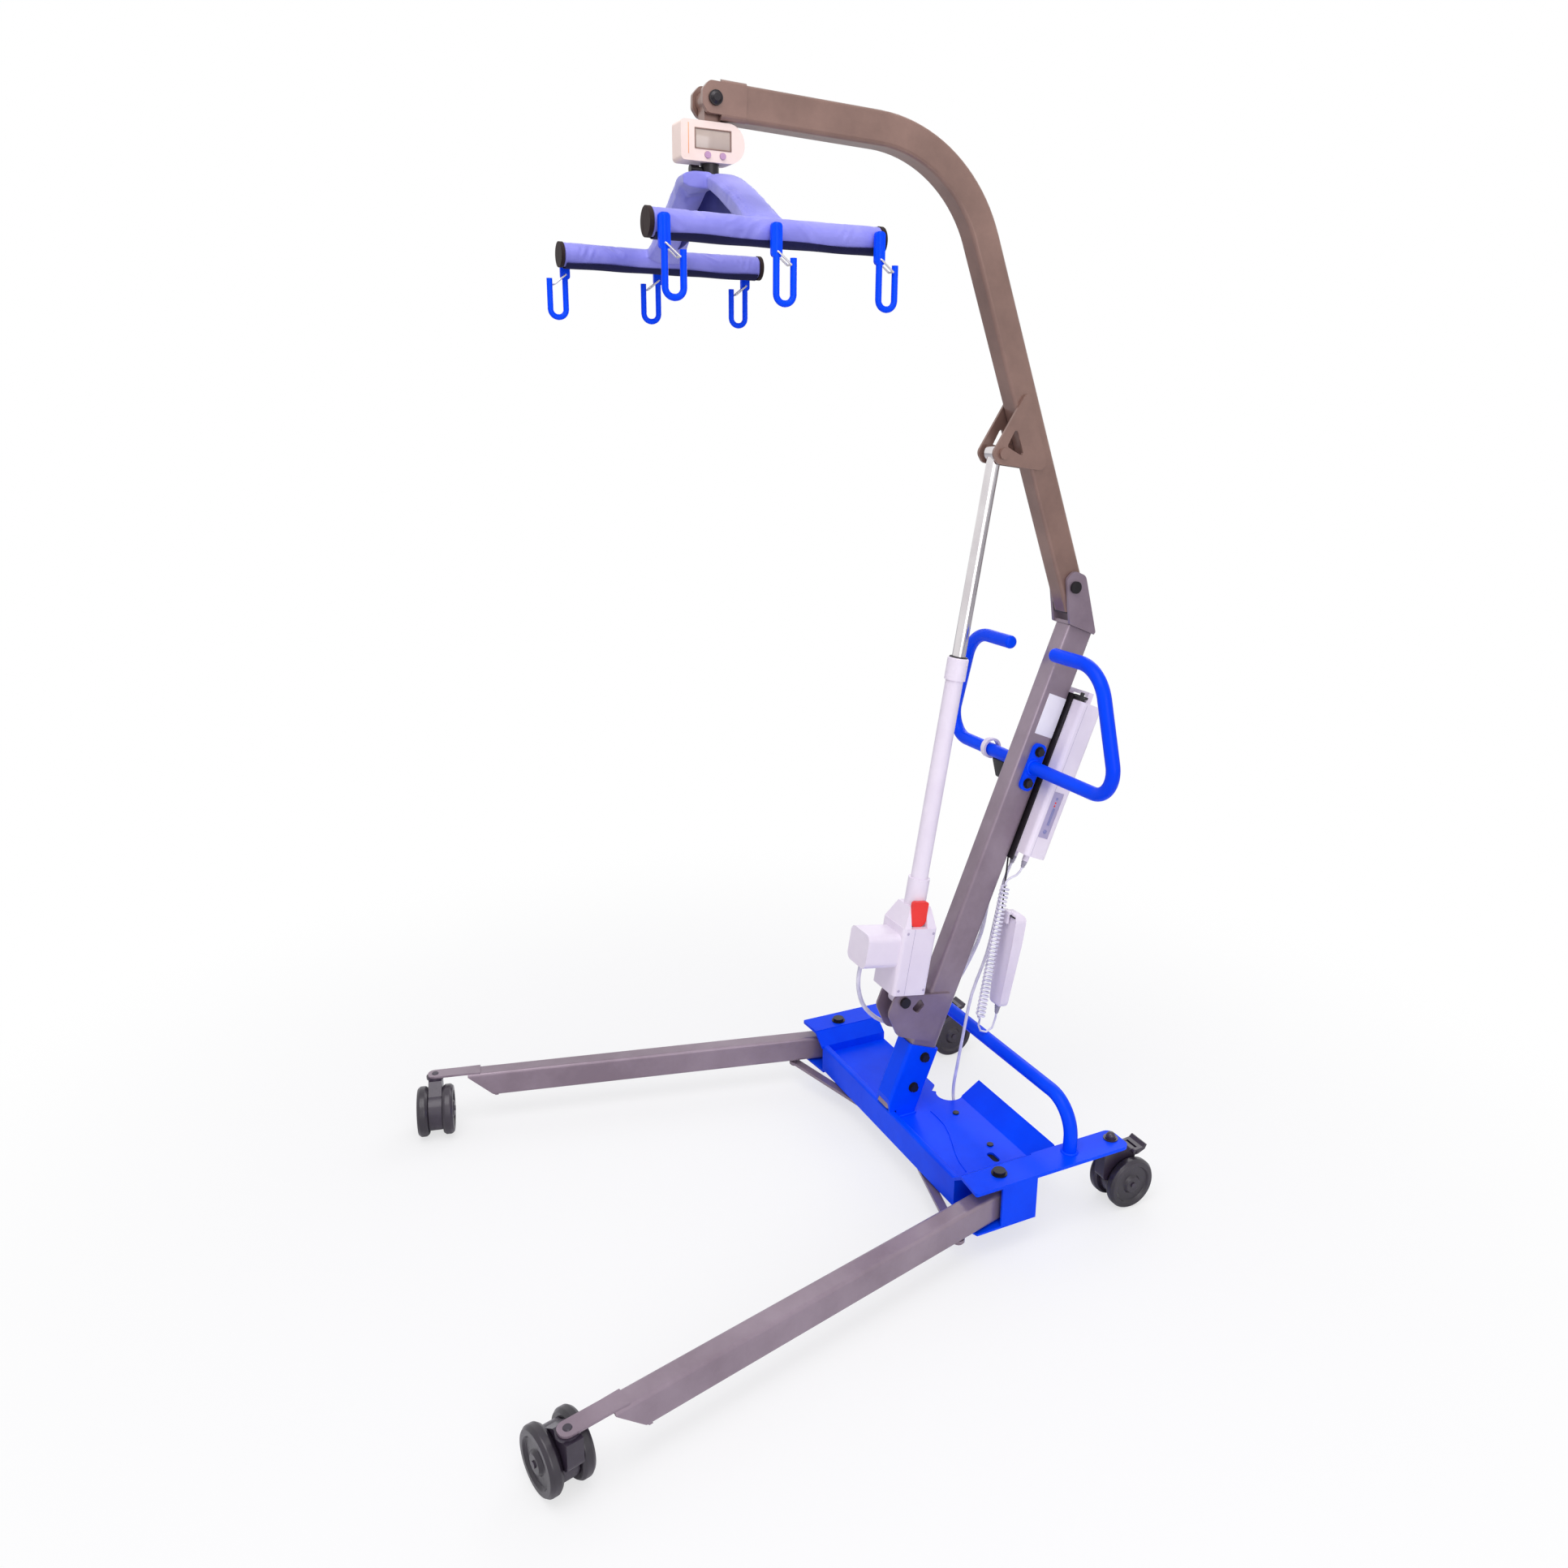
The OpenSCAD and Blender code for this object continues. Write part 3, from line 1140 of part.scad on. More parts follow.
// Cradle: the same shape turned half round for its other side
module on_cradle() {
  on_hanger() translate([0, 0, -bar_drop]) children();
}
module both_sides() {
  children();
  rotate([0, 0, 180]) children();
}
apex_z = bar_drop + swivel_low - 8;
hook_x = bar_x + cover_r + 6;
hook_ys = [-hook_pitch, 0, hook_pitch];
hook_top = 5;
hook_low = -95;
hook_stud_r = 5;
hook_tip = -33;
cap_t = 6;
module cradle_swivel() {
  color(black) on_hanger() difference() {
    union() {
      translate([0, 0, swivel_low - 8]) cylinder(r = swivel_r, h = -swivel_low + scale_low + 8 - gap);
      // locking knob on its front
      translate([0, 0, swivel_low + 5.5]) rotate([90, 0, 0]) cylinder(r = 4, h = 24);
      translate([0, -swivel_r - 4, swivel_low + 5.5]) rotate([90, 0, 0]) cylinder(r = 6, h = 13);
    }
    translate([0, 0, swivel_low - 6 - gap]) cylinder(r = foot_r + gap, h = 6.2 + 2 * gap);
    translate([0, 0, swivel_low - 1]) cylinder(r = stud_r + run, h = 100);
  }
}

arm_t1 = 5;
strap_w = 40;
strap_off = 17;
strap_turn = -5.2;

// Each strap runs a little across the middle, beside its partner
module on_strap() {
  translate([0, strap_off, 0]) rotate([0, 0, strap_turn]) children();
}
module strap(g) {
  translate([0, strap_w / 2 + g, 0]) rotate([90, 0, 0]) linear_extrude(strap_w + 2 * g)
    polygon([[-17 - g, apex_z - arm_t1 - 1.1 * g], [-17 - g, apex_z + 1.1 * g], [14, apex_z + 1.1 * g],
        [bar_x - 4, bar_r - 3 + 1.1 * g], [bar_x - 9, bar_r - 8 - 1.1 * g], [12, apex_z - arm_t1 - 1.1 * g]]);
}
module cradle_frame() {
  color(black) on_cradle() both_sides() difference() {
    union() {
      translate([bar_x, -bar_half + cap_t, 0]) rotate([-90, 0, 0]) cylinder(r = bar_r, h = 2 * (bar_half - cap_t));
      for (y = [-bar_half, bar_half - cap_t]) translate([bar_x, y, 0]) rotate([-90, 0, 0]) cylinder(r = cover_r, h = cap_t);
      on_strap() strap(0);
      // joins the two straps under the swivel
      translate([-16, -30, apex_z - arm_t1 - 5]) cube([32, 60, 5.5]);
    }
    for (y = hook_ys) translate([bar_x, y, 0]) cross_pin(hook_stud_r + run, bar_r - 7, 60);
  }
}

// Padded cover: a sleeve on each bar and a sloping, slightly puffed sleeve on each strap
sleeve_w = 57;
puff = 7;
module cover_half() {
  mid_x = (18 + bar_x) / 2;
  mid_z = (apex_z + 5 + cover_r) / 2;
  translate([bar_x, -bar_half + cap_t + gap, 0]) rotate([-90, 0, 0]) cylinder(r = cover_r, h = 2 * (bar_half - cap_t - gap));
  on_strap() translate([0, sleeve_w / 2, 0]) rotate([90, 0, 0]) linear_extrude(sleeve_w)
    polygon(rounded([[-17 - gap, apex_z - 20, 0], [-17 - gap, apex_z + 6, 0], [18, apex_z + 6, 12], [mid_x, mid_z + puff, 400],
        [bar_x - 4, cover_r - 1, 6], [bar_x + 2, 0, 0], [bar_x - 17, 2, 4], [12, apex_z - 20, 6]], 4));
}
// Lining that closes the cover under the arch
module cover_lining() {
  translate([0, 1.5, 0]) rotate([90, 0, 0]) linear_extrude(3)
    polygon(rounded([[18 - bar_x, 6, 0], [-60, 24, 120], [60, 24, 120], [bar_x - 18, 6, 0], [16, apex_z - 12, 10],
        [-16, apex_z - 12, 10]], 3));
}
module cradle_cover() {
  color(lilac) on_cradle() difference() {
    union() {
      both_sides() cover_half();
      cover_lining();
    }
    both_sides() {
      translate([bar_x, -bar_half, 0]) rotate([-90, 0, 0]) cylinder(r = bar_r + gap, h = 2 * bar_half);
      on_strap() strap(gap);
      for (y = hook_ys) translate([bar_x, y, 0]) cross_pin(hook_stud_r + gap, 0, 60);
    }
    translate([-16 - gap, -30 - gap, apex_z - arm_t1 - 5 - gap]) cube([32 + 2 * gap, 60 + 2 * gap, 6]);
    translate([0, 0, apex_z - 1]) cylinder(r = swivel_r + gap, h = 40);
  }
}

// Sling hook: a stud in the bar, a tongue down its outer side and an open loop
module hook() {
  r = hook_r;
  d = hook_w;
  difference() {
    union() {
      cross_pin(hook_stud_r, -hook_x + bar_x + bar_r - 6, 1);
      pipe_run([[0, 0, hook_top], [0, 0, hook_low + r], [0, d, hook_low + r], [0, d, hook_tip]], [0, hook_w / 2 - 0.5, hook_w / 2 - 0.5, 0], r);
      translate([0, 0, hook_top]) sphere(r = r - lap_in);
      // flat tongue, in line with the stud
      side_plate([[-7.5, tongue_low, 5], [7.5, tongue_low, 5], [7.5, hook_top + 4, 5], [-7.5, hook_top + 4, 5]], -3, 6);
    }
    translate([0, 0, gate_top]) cross_pin(gate_r + run, -20, 20);
  }
}
module sling_hooks() {
  color(blue) on_cradle() both_sides() for (y = hook_ys) translate([hook_x, y, 0]) hook();
}

// Sprung wire gate that closes one hook loop
gate_r = 1.4;
gate_top = -27;
gate_low = -42;
tongue_low = -34;
module gate(side, i) {
  dx = hook_r + gate_r + gap;
  reach = hook_w - hook_r - gate_r - gap;
  color(steel) on_cradle() rotate([0, 0, side * 180]) translate([hook_x, hook_ys[i], 0]) {
    pipe_run([[dx, reach, gate_low], [dx, 0, gate_top], [-dx, 0, gate_top], [-dx, reach, gate_low], [dx - 1, reach, gate_low]],
      [0, 1.55, 1.55, 1.55, 0], gate_r);
    translate([dx, reach, gate_low]) sphere(r = gate_r + lap_in);
  }
}
module gate_right_front() {
  gate(0, 0);
}
module gate_right_middle() {
  gate(0, 1);
}
module gate_right_rear() {
  gate(0, 2);
}
module gate_left_front() {
  gate(1, 2);
}
module gate_left_middle() {
  gate(1, 1);
}
module gate_left_rear() {
  gate(1, 0);
}

base_frame();
mast_socket();
foot_hoop();
frame_bolts();
pivot_bolts();
leg_actuator();
mast_tube();
motor_clevis();
mast_head();
push_handle_right();
push_handle_left();
cord_clip();
box_bracket();
control_box();
battery_pack();
stop_button();
handset();
lift_key();
spread_key();
handset_cord();
lift_cord();
leg_cord();
leg_right();
leg_left();
tie_rod_right();
tie_rod_left();
leg_carriage();
fork_front_right();
fork_front_left();
fork_rear_right();
fork_rear_left();
wheels_front_right();
wheels_front_left();
wheels_rear_right();
wheels_rear_left();
pedal_right();
pedal_left();
motor_housing();
motor_tube();
release_collar();
lift_rod();
boom_tube();
boom_bush();
lift_bracket();
boom_tip();
tip_bolt();
hanger_eye();
scale_unit();
scale_key_one();
scale_key_two();
cradle_swivel();
cradle_frame();
cradle_cover();
sling_hooks();
gate_right_front();
gate_right_middle();
gate_right_rear();
gate_left_front();
gate_left_middle();
gate_left_rear();
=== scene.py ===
import math
import bpy
from mathutils import Matrix, Vector


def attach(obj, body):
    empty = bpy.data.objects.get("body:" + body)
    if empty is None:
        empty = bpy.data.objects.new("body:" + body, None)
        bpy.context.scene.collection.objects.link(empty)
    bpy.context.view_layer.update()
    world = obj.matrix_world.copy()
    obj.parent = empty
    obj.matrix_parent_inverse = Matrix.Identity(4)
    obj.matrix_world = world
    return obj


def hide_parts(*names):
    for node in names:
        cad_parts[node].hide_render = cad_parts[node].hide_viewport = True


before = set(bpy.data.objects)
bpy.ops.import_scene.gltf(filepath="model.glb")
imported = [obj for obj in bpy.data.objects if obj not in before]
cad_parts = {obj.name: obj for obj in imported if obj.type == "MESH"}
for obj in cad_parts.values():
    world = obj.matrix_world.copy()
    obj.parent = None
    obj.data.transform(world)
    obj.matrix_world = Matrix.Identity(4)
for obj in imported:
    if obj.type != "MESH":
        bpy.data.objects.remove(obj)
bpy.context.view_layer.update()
bpy.context.scene.view_settings.view_transform = "Standard"

# Camera
# Where the photograph was taken from: in front of the lift and to its right,
# 1.4 m above the floor, looking a little down through a slightly wide lens.
camera = bpy.data.objects.new("camera", bpy.data.cameras.new("camera"))
bpy.context.scene.collection.objects.link(camera)
bpy.context.scene.camera = camera
eye = (1.7873, -0.8560, 1.3953)
yaw, pitch, roll = 0.47453, -0.26717, 0.016618
ahead = Vector((-math.cos(yaw) * math.cos(pitch), math.sin(yaw) * math.cos(pitch), math.sin(pitch)))
across = ahead.cross(Vector((0, 0, 1))).normalized()
upward = across.cross(ahead)
level = across * math.cos(roll) + upward * math.sin(roll)
plumb = upward * math.cos(roll) - across * math.sin(roll)
camera.matrix_world = Matrix((
    (level.x, plumb.x, -ahead.x, eye[0]),
    (level.y, plumb.y, -ahead.y, eye[1]),
    (level.z, plumb.z, -ahead.z, eye[2]),
    (0, 0, 0, 1)))
camera.data.lens = 28.05
camera.data.sensor_width = 36
camera.data.shift_x = -0.02825
camera.data.shift_y = -0.02643
camera.data.clip_end = 60


# Three leads
# The box feeds the lift motor, the leg motor and the handset. The first two
# are smooth PVC leads hanging down the mast; the handset's is a curly one.
def new_paint(name):
    """A new material, its node tree and its main shader."""
    paint = bpy.data.materials.new(name)
    paint.use_nodes = True
    return paint, paint.node_tree, paint.node_tree.nodes["Principled BSDF"]


def shade_node(tree, kind, **settings):
    """One shader node, with its inputs set by name."""
    made = tree.nodes.new("ShaderNode" + kind)
    for name, value in settings.items():
        made.inputs[name.replace("_", " ")].default_value = value
    return made


def two_shades(tree, low, deep, high, light):
    """A colour ramp from a deep shade to a light one."""
    ramp = shade_node(tree, "ValToRGB")
    for stop, place, colour in zip(ramp.color_ramp.elements, (low, high), (deep, light)):
        stop.position = place
        stop.color = (*colour, 1)
    return ramp


def feed(tree, *pairs):
    """Each pair is an output and the input that it feeds."""
    for start, end in pairs:
        tree.links.new(start, end)


lead_pvc, tree, face = new_paint("lead_pvc")
where = shade_node(tree, "TexCoord")
soil = shade_node(tree, "TexNoise", Scale=38, Detail=5)
tint = two_shades(tree, 0.35, (0.60, 0.58, 0.72), 0.62, (0.78, 0.75, 0.86))
fine = shade_node(tree, "TexNoise", Scale=900, Detail=3)
bump = shade_node(tree, "Bump", Strength=0.12, Distance=0.0004)
feed(tree,
     (where.outputs["Object"], soil.inputs["Vector"]),
     (where.outputs["Object"], fine.inputs["Vector"]),
     (soil.outputs["Fac"], tint.inputs["Fac"]),
     (tint.outputs["Color"], face.inputs["Base Color"]),
     (fine.outputs["Fac"], bump.inputs["Height"]),
     (bump.outputs["Normal"], face.inputs["Normal"]))
face.inputs["Roughness"].default_value = 0.42

# Places along the lift are measured from the legs' pivots. The box on the
# leaning mast has three glands side by side in its lower end.
pivot_y = 0.2515003
lean = math.radians(21.25)
mast_foot_y, mast_foot_z = -0.038, 0.095
gland_side, gland_behind = 0.034, 0.059


def on_mast(x, u, s):
    """A point x across, u behind and s along the mast, in metres."""
    return Vector((x, pivot_y + mast_foot_y + u * math.cos(lean) + s * math.sin(lean),
                   mast_foot_z + s * math.cos(lean) - u * math.sin(lean)))


def from_gland(x, *down):
    """The first points of a lead, straight down the mast out of its gland."""
    return [on_mast(x, gland_behind, s) for s in down]


def from_pivots(*points):
    """Points x across, y behind the legs' pivots and z up."""
    return [Vector((x, pivot_y + y, z)) for x, y, z in points]


def eased(points, steps):
    """The lead's route with steps points to each given stretch, as a lead curves."""
    way = []
    for i in range(len(points) - 1):
        a, b, c, d = (points[max(0, min(len(points) - 1, i + k))] for k in (-1, 0, 1, 2))
        for j in range(steps):
            t = j / steps
            way.append(0.5 * (2 * b + (c - a) * t + (2 * a - 5 * b + 4 * c - d) * t ** 2
                              + (3 * b - a - 3 * c + d) * t ** 3))
    return way + [points[-1]]


def drawn(name, way, radius, steps):
    """A round bar drawn along the points, with its ends closed."""
    line = bpy.data.curves.new(name, "CURVE")
    line.dimensions = "3D"
    line.bevel_depth = radius
    line.bevel_resolution = steps
    line.use_fill_caps = True
    run = line.splines.new("POLY")
    run.points.add(len(way) - 1)
    for knot, p in zip(run.points, way):
        knot.co = (p.x, p.y, p.z, 1)
    bar = bpy.data.objects.new(name, line)
    bpy.context.scene.collection.objects.link(bar)
    return bar


def lay_lead(name, part, way, thickness):
    """One round lead along the points, in place of the part's solid."""
    lead = drawn(name, way, thickness / 2, 5)
    lead.data.splines[0].use_smooth = True
    lead.data.materials.append(lead_pvc)
    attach(lead, "base")
    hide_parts(part)
    return lead


lift_way = from_gland(-gland_side, 0.542, 0.534, 0.527) + from_pivots(
    (-0.034, 0.192, 0.535), (-0.026, 0.176, 0.480), (-0.020, 0.160, 0.420), (-0.024, 0.135, 0.360),
    (-0.036, 0.105, 0.300), (-0.048, 0.060, 0.255), (-0.050, 0.010, 0.248), (-0.048, -0.040, 0.264),
    (-0.044, -0.078, 0.300), (-0.034, -0.098, 0.340), (-0.029, -0.1035, 0.375), (-0.028, -0.0992, 0.404),
    (-0.028, -0.0970, 0.418))
lift_way = eased(lift_way, 3)
lift_lead = lay_lead("lift_lead", "lift_cord", lift_way, 0.008)

leg_way = from_gland(0, 0.542, 0.535, 0.529) + from_pivots(
    (0.004, 0.190, 0.530), (0.008, 0.172, 0.460), (0.010, 0.155, 0.390),
    (0.010, 0.125, 0.310), (0.008, 0.112, 0.230), (0.004, 0.104, 0.160), (0.002, 0.099, 0.115),
    (0.006, 0.098, 0.084), (0.022, 0.097, 0.068), (0.040, 0.096, 0.064), (0.058, 0.096, 0.064))
leg_way = eased(leg_way, 3)
leg_lead = lay_lead("leg_lead", "leg_cord", leg_way, 0.006)

# The handset's lead is wound along a straight line. Its first and last curls
# grow out of the straight ends, run_in points long each.
curls = 34
curl_points = 14
curl_radius = 0.0075
run_in = 10.5
curl_top = Vector((gland_side, pivot_y + 0.172, 0.538))
curl_low = Vector((gland_side, pivot_y + 0.130, 0.269))
curl_axis = (curl_low - curl_top).normalized()
sideways = Vector((1, 0, 0))
curl_side = sideways.cross(curl_axis).normalized()
hand_lean = math.radians(8)
hand_axis = Vector((0, math.sin(hand_lean), math.cos(hand_lean)))
hand_long = 0.190
hand_low = Vector((gland_side, pivot_y + 0.197, 0.478)) - hand_axis * hand_long
hand_way = from_gland(gland_side, 0.542, 0.537, 0.532) + from_pivots(
    (gland_side, 0.2045, 0.560), (gland_side, 0.1965, 0.553), (gland_side, 0.186, 0.550),
    (gland_side, 0.177, 0.5465), (gland_side, 0.173, 0.5425))
steps = curls * curl_points
for k in range(steps + 1):
    ease = min(1, k / run_in, (steps - k) / run_in)
    turn = 2 * math.pi * k / curl_points
    hand_way.append(curl_top + (curl_low - curl_top) * k / steps
                    + curl_radius * ease * (math.cos(turn) * sideways + math.sin(turn) * curl_side))
hand_way += from_pivots((gland_side, 0.128, 0.255), (gland_side, 0.133, 0.243),
                        (gland_side, 0.146, 0.237), (gland_side, 0.160, 0.243))
hand_way += [hand_low - hand_axis * 0.028, hand_low - hand_axis * 0.012, hand_low]
hand_lead = lay_lead("handset_lead", "handset_cord", hand_way, 0.004)

# Floor and lamps
# A plain studio floor that fades to white away from the lift, under a big soft
# lamp overhead and two soft fills.
bpy.ops.object.select_all(action="DESELECT")
bpy.ops.mesh.primitive_plane_add(size=40, location=(0, 0, 0))
floor = bpy.context.active_object
floor.name = "studio_floor"
floor_paper, tree, face = new_paint("floor_paper")
face.inputs["Base Color"].default_value = (0.86, 0.86, 0.87, 1)
face.inputs["Roughness"].default_value = 0.9
glow = shade_node(tree, "Emission", Color=(1, 1, 1, 1))
ray = shade_node(tree, "LightPath")
mix = shade_node(tree, "MixShader")
seen = shade_node(tree, "Math")
seen.operation = "MULTIPLY"
where = shade_node(tree, "TexCoord")
far = shade_node(tree, "VectorMath")
far.operation = "LENGTH"
fade = shade_node(tree, "MapRange", From_Min=0.55, From_Max=1.9, To_Min=0.66, To_Max=1.0)
fade.interpolation_type = "SMOOTHSTEP"
feed(tree,
     (where.outputs["Object"], far.inputs[0]),
     (far.outputs["Value"], fade.inputs["Value"]),
     (fade.outputs["Result"], seen.inputs[1]),
     (ray.outputs["Is Camera Ray"], seen.inputs[0]),
     (seen.outputs[0], mix.inputs["Fac"]),
     (face.outputs["BSDF"], mix.inputs[1]),
     (glow.outputs["Emission"], mix.inputs[2]),
     (mix.outputs["Shader"], tree.nodes["Material Output"].inputs["Surface"]))
floor.data.materials.append(floor_paper)

studio = bpy.data.worlds.new("studio")
bpy.context.scene.world = studio
studio.use_nodes = True
tree = studio.node_tree
plain = tree.nodes["Background"]
plain.inputs["Color"].default_value = (0.93, 0.93, 0.98, 1)
plain.inputs["Strength"].default_value = 0.55
bright = shade_node(tree, "Background", Color=(1, 1, 1, 1), Strength=1.0)
ray = shade_node(tree, "LightPath")
both = shade_node(tree, "Math")
both.operation = "MAXIMUM"
pick = shade_node(tree, "MixShader")
feed(tree,
     (ray.outputs["Is Camera Ray"], both.inputs[0]),
     (ray.outputs["Is Glossy Ray"], both.inputs[1]),
     (both.outputs[0], pick.inputs["Fac"]),
     (plain.outputs["Background"], pick.inputs[1]),
     (bright.outputs["Background"], pick.inputs[2]),
     (pick.outputs["Shader"], tree.nodes["World Output"].inputs["Surface"]))

for name, place, aim, size, power, colour in (
        ("lamp_over", (0.9, -0.9, 3.6), (0, 0, 0.7), 2.6, 62, (1, 0.98, 0.99)),
        ("lamp_near", (3.4, -0.3, 1.7), (0, 0, 0.9), 2.2, 34, (0.98, 0.97, 1)),
        ("lamp_back", (-2.0, 2.6, 2.6), (0, 0, 0.8), 2.4, 26, (1, 0.99, 1))):
    lamp = bpy.data.objects.new(name, bpy.data.lights.new(name, "AREA"))
    bpy.context.scene.collection.objects.link(lamp)
    lamp.data.size = size
    lamp.data.energy = power
    lamp.data.color = colour
    lamp.location = place
    lamp.rotation_euler = (Vector(aim) - Vector(place)).to_track_quat("-Z", "Y").to_euler()

# Base frame
# Folded 4 mm steel sheet and 6 mm plate, welded and powder coated a royal
# blue. The hoop, the mast socket, the handles and the hooks have the same coat.
grain = bpy.data.node_groups.new("coat_grain", "ShaderNodeTree")
for name, way in (("Peel Scale", "INPUT"), ("Blotch Scale", "INPUT"),
                  ("Height", "OUTPUT"), ("Blotch", "OUTPUT"), ("Scuff", "OUTPUT")):
    grain.interface.new_socket(name, in_out=way, socket_type="NodeSocketFloat")
into = grain.nodes.new("NodeGroupInput")
out = grain.nodes.new("NodeGroupOutput")
where = shade_node(grain, "TexCoord")
peel = shade_node(grain, "TexNoise", Detail=2)
blotch = shade_node(grain, "TexNoise", Detail=6, Roughness=0.62)
scuff_map = shade_node(grain, "Mapping", Scale=(60, 60, 9))
scuff = shade_node(grain, "TexNoise", Scale=3, Detail=8)
cut = shade_node(grain, "MapRange", From_Min=0.60, From_Max=0.74)
feed(grain,
     (where.outputs["Object"], peel.inputs["Vector"]),
     (where.outputs["Object"], blotch.inputs["Vector"]),
     (where.outputs["Object"], scuff_map.inputs["Vector"]),
     (scuff_map.outputs["Vector"], scuff.inputs["Vector"]),
     (into.outputs["Peel Scale"], peel.inputs["Scale"]),
     (into.outputs["Blotch Scale"], blotch.inputs["Scale"]),
     (scuff.outputs["Fac"], cut.inputs["Value"]),
     (peel.outputs["Fac"], out.inputs["Height"]),
     (blotch.outputs["Fac"], out.inputs["Blotch"]),
     (cut.outputs["Result"], out.inputs["Scuff"]))


def coated(name, deep, light, gloss, peel_size=420, depth=0.00012, metal=0.0, coat=0.0, shine=0.5):
    """A powder coat, moulding or bare metal: two shades in soft blotches, with peel and scuffs."""
    paint, tree, face = new_paint(name)
    skin = tree.nodes.new("ShaderNodeGroup")
    skin.node_tree = grain
    skin.inputs["Peel Scale"].default_value = peel_size
    skin.inputs["Blotch Scale"].default_value = 7
    shade = two_shades(tree, 0.34, deep, 0.66, light)
    dull = shade_node(tree, "MapRange", To_Min=gloss, To_Max=min(1, gloss + 0.14))
    raised = shade_node(tree, "Bump", Strength=0.35, Distance=depth)
    feed(tree,
         (skin.outputs["Blotch"], shade.inputs["Fac"]),
         (shade.outputs["Color"], face.inputs["Base Color"]),
         (skin.outputs["Scuff"], dull.inputs["Value"]),
         (dull.outputs["Result"], face.inputs["Roughness"]),
         (skin.outputs["Height"], raised.inputs["Height"]),
         (raised.outputs["Normal"], face.inputs["Normal"]))
    face.inputs["Metallic"].default_value = metal
    face.inputs["Coat Weight"].default_value = coat
    face.inputs["Coat Roughness"].default_value = 0.12
    face.inputs["Specular IOR Level"].default_value = shine
    return paint


def finish(paint, *names):
    """The finish goes on every face of these parts."""
    for name in names:
        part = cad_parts[name]
        for place in part.material_slots:
            place.material = paint
        if not part.material_slots:
            part.data.materials.append(paint)


blue_coat = coated("blue_coat", (0.000, 0.050, 0.86), (0.000, 0.072, 1.0), 0.34, coat=0.03, shine=0.08)
finish(blue_coat, "base_frame", "mast_socket", "foot_hoop", "push_handle_right", "push_handle_left",
       "sling_hooks")


# Weld beads
# Rippled beads where the hoop stands on the arms, where the handles leave
# their plates and round the mast socket's foot, and the crease in the tray.
def settle(piece, name, body, paint, smooth=35):
    """The piece's place goes into its mesh, its edges are smoothed, and it rides the body."""
    bpy.ops.object.select_all(action="DESELECT")
    piece.select_set(True)
    bpy.context.view_layer.objects.active = piece
    bpy.ops.object.transform_apply(location=True, rotation=True, scale=True)
    bpy.ops.object.shade_smooth_by_angle(angle=math.radians(smooth))
    piece.name = name
    piece.data.name = name
    piece.data.materials.clear()
    piece.data.materials.append(paint)
    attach(piece, body)
    return piece


def joined(pieces):
    """Several meshes as one object."""
    bpy.ops.object.select_all(action="DESELECT")
    for piece in pieces:
        piece.select_set(True)
    bpy.context.view_layer.objects.active = pieces[0]
    if len(pieces) > 1:
        bpy.ops.object.join()
    return bpy.context.active_object


def ring(at, turn, radius, thick, around, section):
    """A plain ring of round section, turned from lying flat."""
    bpy.ops.object.select_all(action="DESELECT")
    bpy.ops.mesh.primitive_torus_add(major_radius=radius, minor_radius=thick, major_segments=around,
                                     minor_segments=section, location=at, rotation=turn)
    return bpy.context.active_object


hoop_x, plate_x = 0.300, 0.0266
bead_middle = 0.0133
ripples = 28
beads = [ring((x, pivot_y + 0.150, 0.1335), (0, 0, 0), 0.0132, 0.0026, 96, 10) for x in (-hoop_x, hoop_x)]
beads += [ring((x, pivot_y + 0.226, 0.758), (0, math.pi / 2, 0), 0.0134, 0.0028, 96, 10)
          for x in (-plate_x, plate_x)]
for bead in beads:
    for v in bead.data.vertices:
        swell = 1 + 0.13 * math.sin(ripples * math.atan2(v.co.y, v.co.x))
        middle = Vector((v.co.x, v.co.y, 0)).normalized() * bead_middle
        v.co = middle + (v.co - middle) * swell
settle(joined(beads), "frame_welds", "base", blue_coat, smooth=60)

for name, way, thick in (
        ("socket_weld", from_pivots(
            (0.0247, -0.0405, 0.0962), (0.0250, -0.030, 0.0962), (0.0250, -0.006, 0.0962),
            (0.0236, -0.0015, 0.0962), (0.0190, -0.0004, 0.0962), (-0.0190, -0.0004, 0.0962),
            (-0.0236, -0.0015, 0.0962), (-0.0250, -0.006, 0.0962), (-0.0250, -0.030, 0.0962),
            (-0.0247, -0.0405, 0.0962)), 0.0026),
        ("tray_crease", from_pivots(
            (0.034, 0.028, 0.0952), (0.060, 0.0284, 0.0953), (0.086, 0.0264, 0.0954),
            (0.116, 0.0182, 0.0954), (0.146, 0.0060, 0.0954), (0.176, -0.0060, 0.0953),
            (0.200, -0.0128, 0.0952), (0.226, -0.0168, 0.0951)), 0.0014)):
    bead = drawn(name, way, thick, 3)
    bead.data.materials.append(blue_coat)
    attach(bead, "base")

# Bolts
# Blackened hexagon bolts, washers and pins of the frame, the mast foot, the
# handle plates and the legs, with the box's wire bracket and the leg motor.
black_steel = coated("black_steel", (0.012, 0.010, 0.013), (0.030, 0.026, 0.030), 0.34, 300, 0.00008,
                     metal=0.55)
finish(black_steel, "frame_bolts", "pivot_bolts", "box_bracket", "leg_actuator")

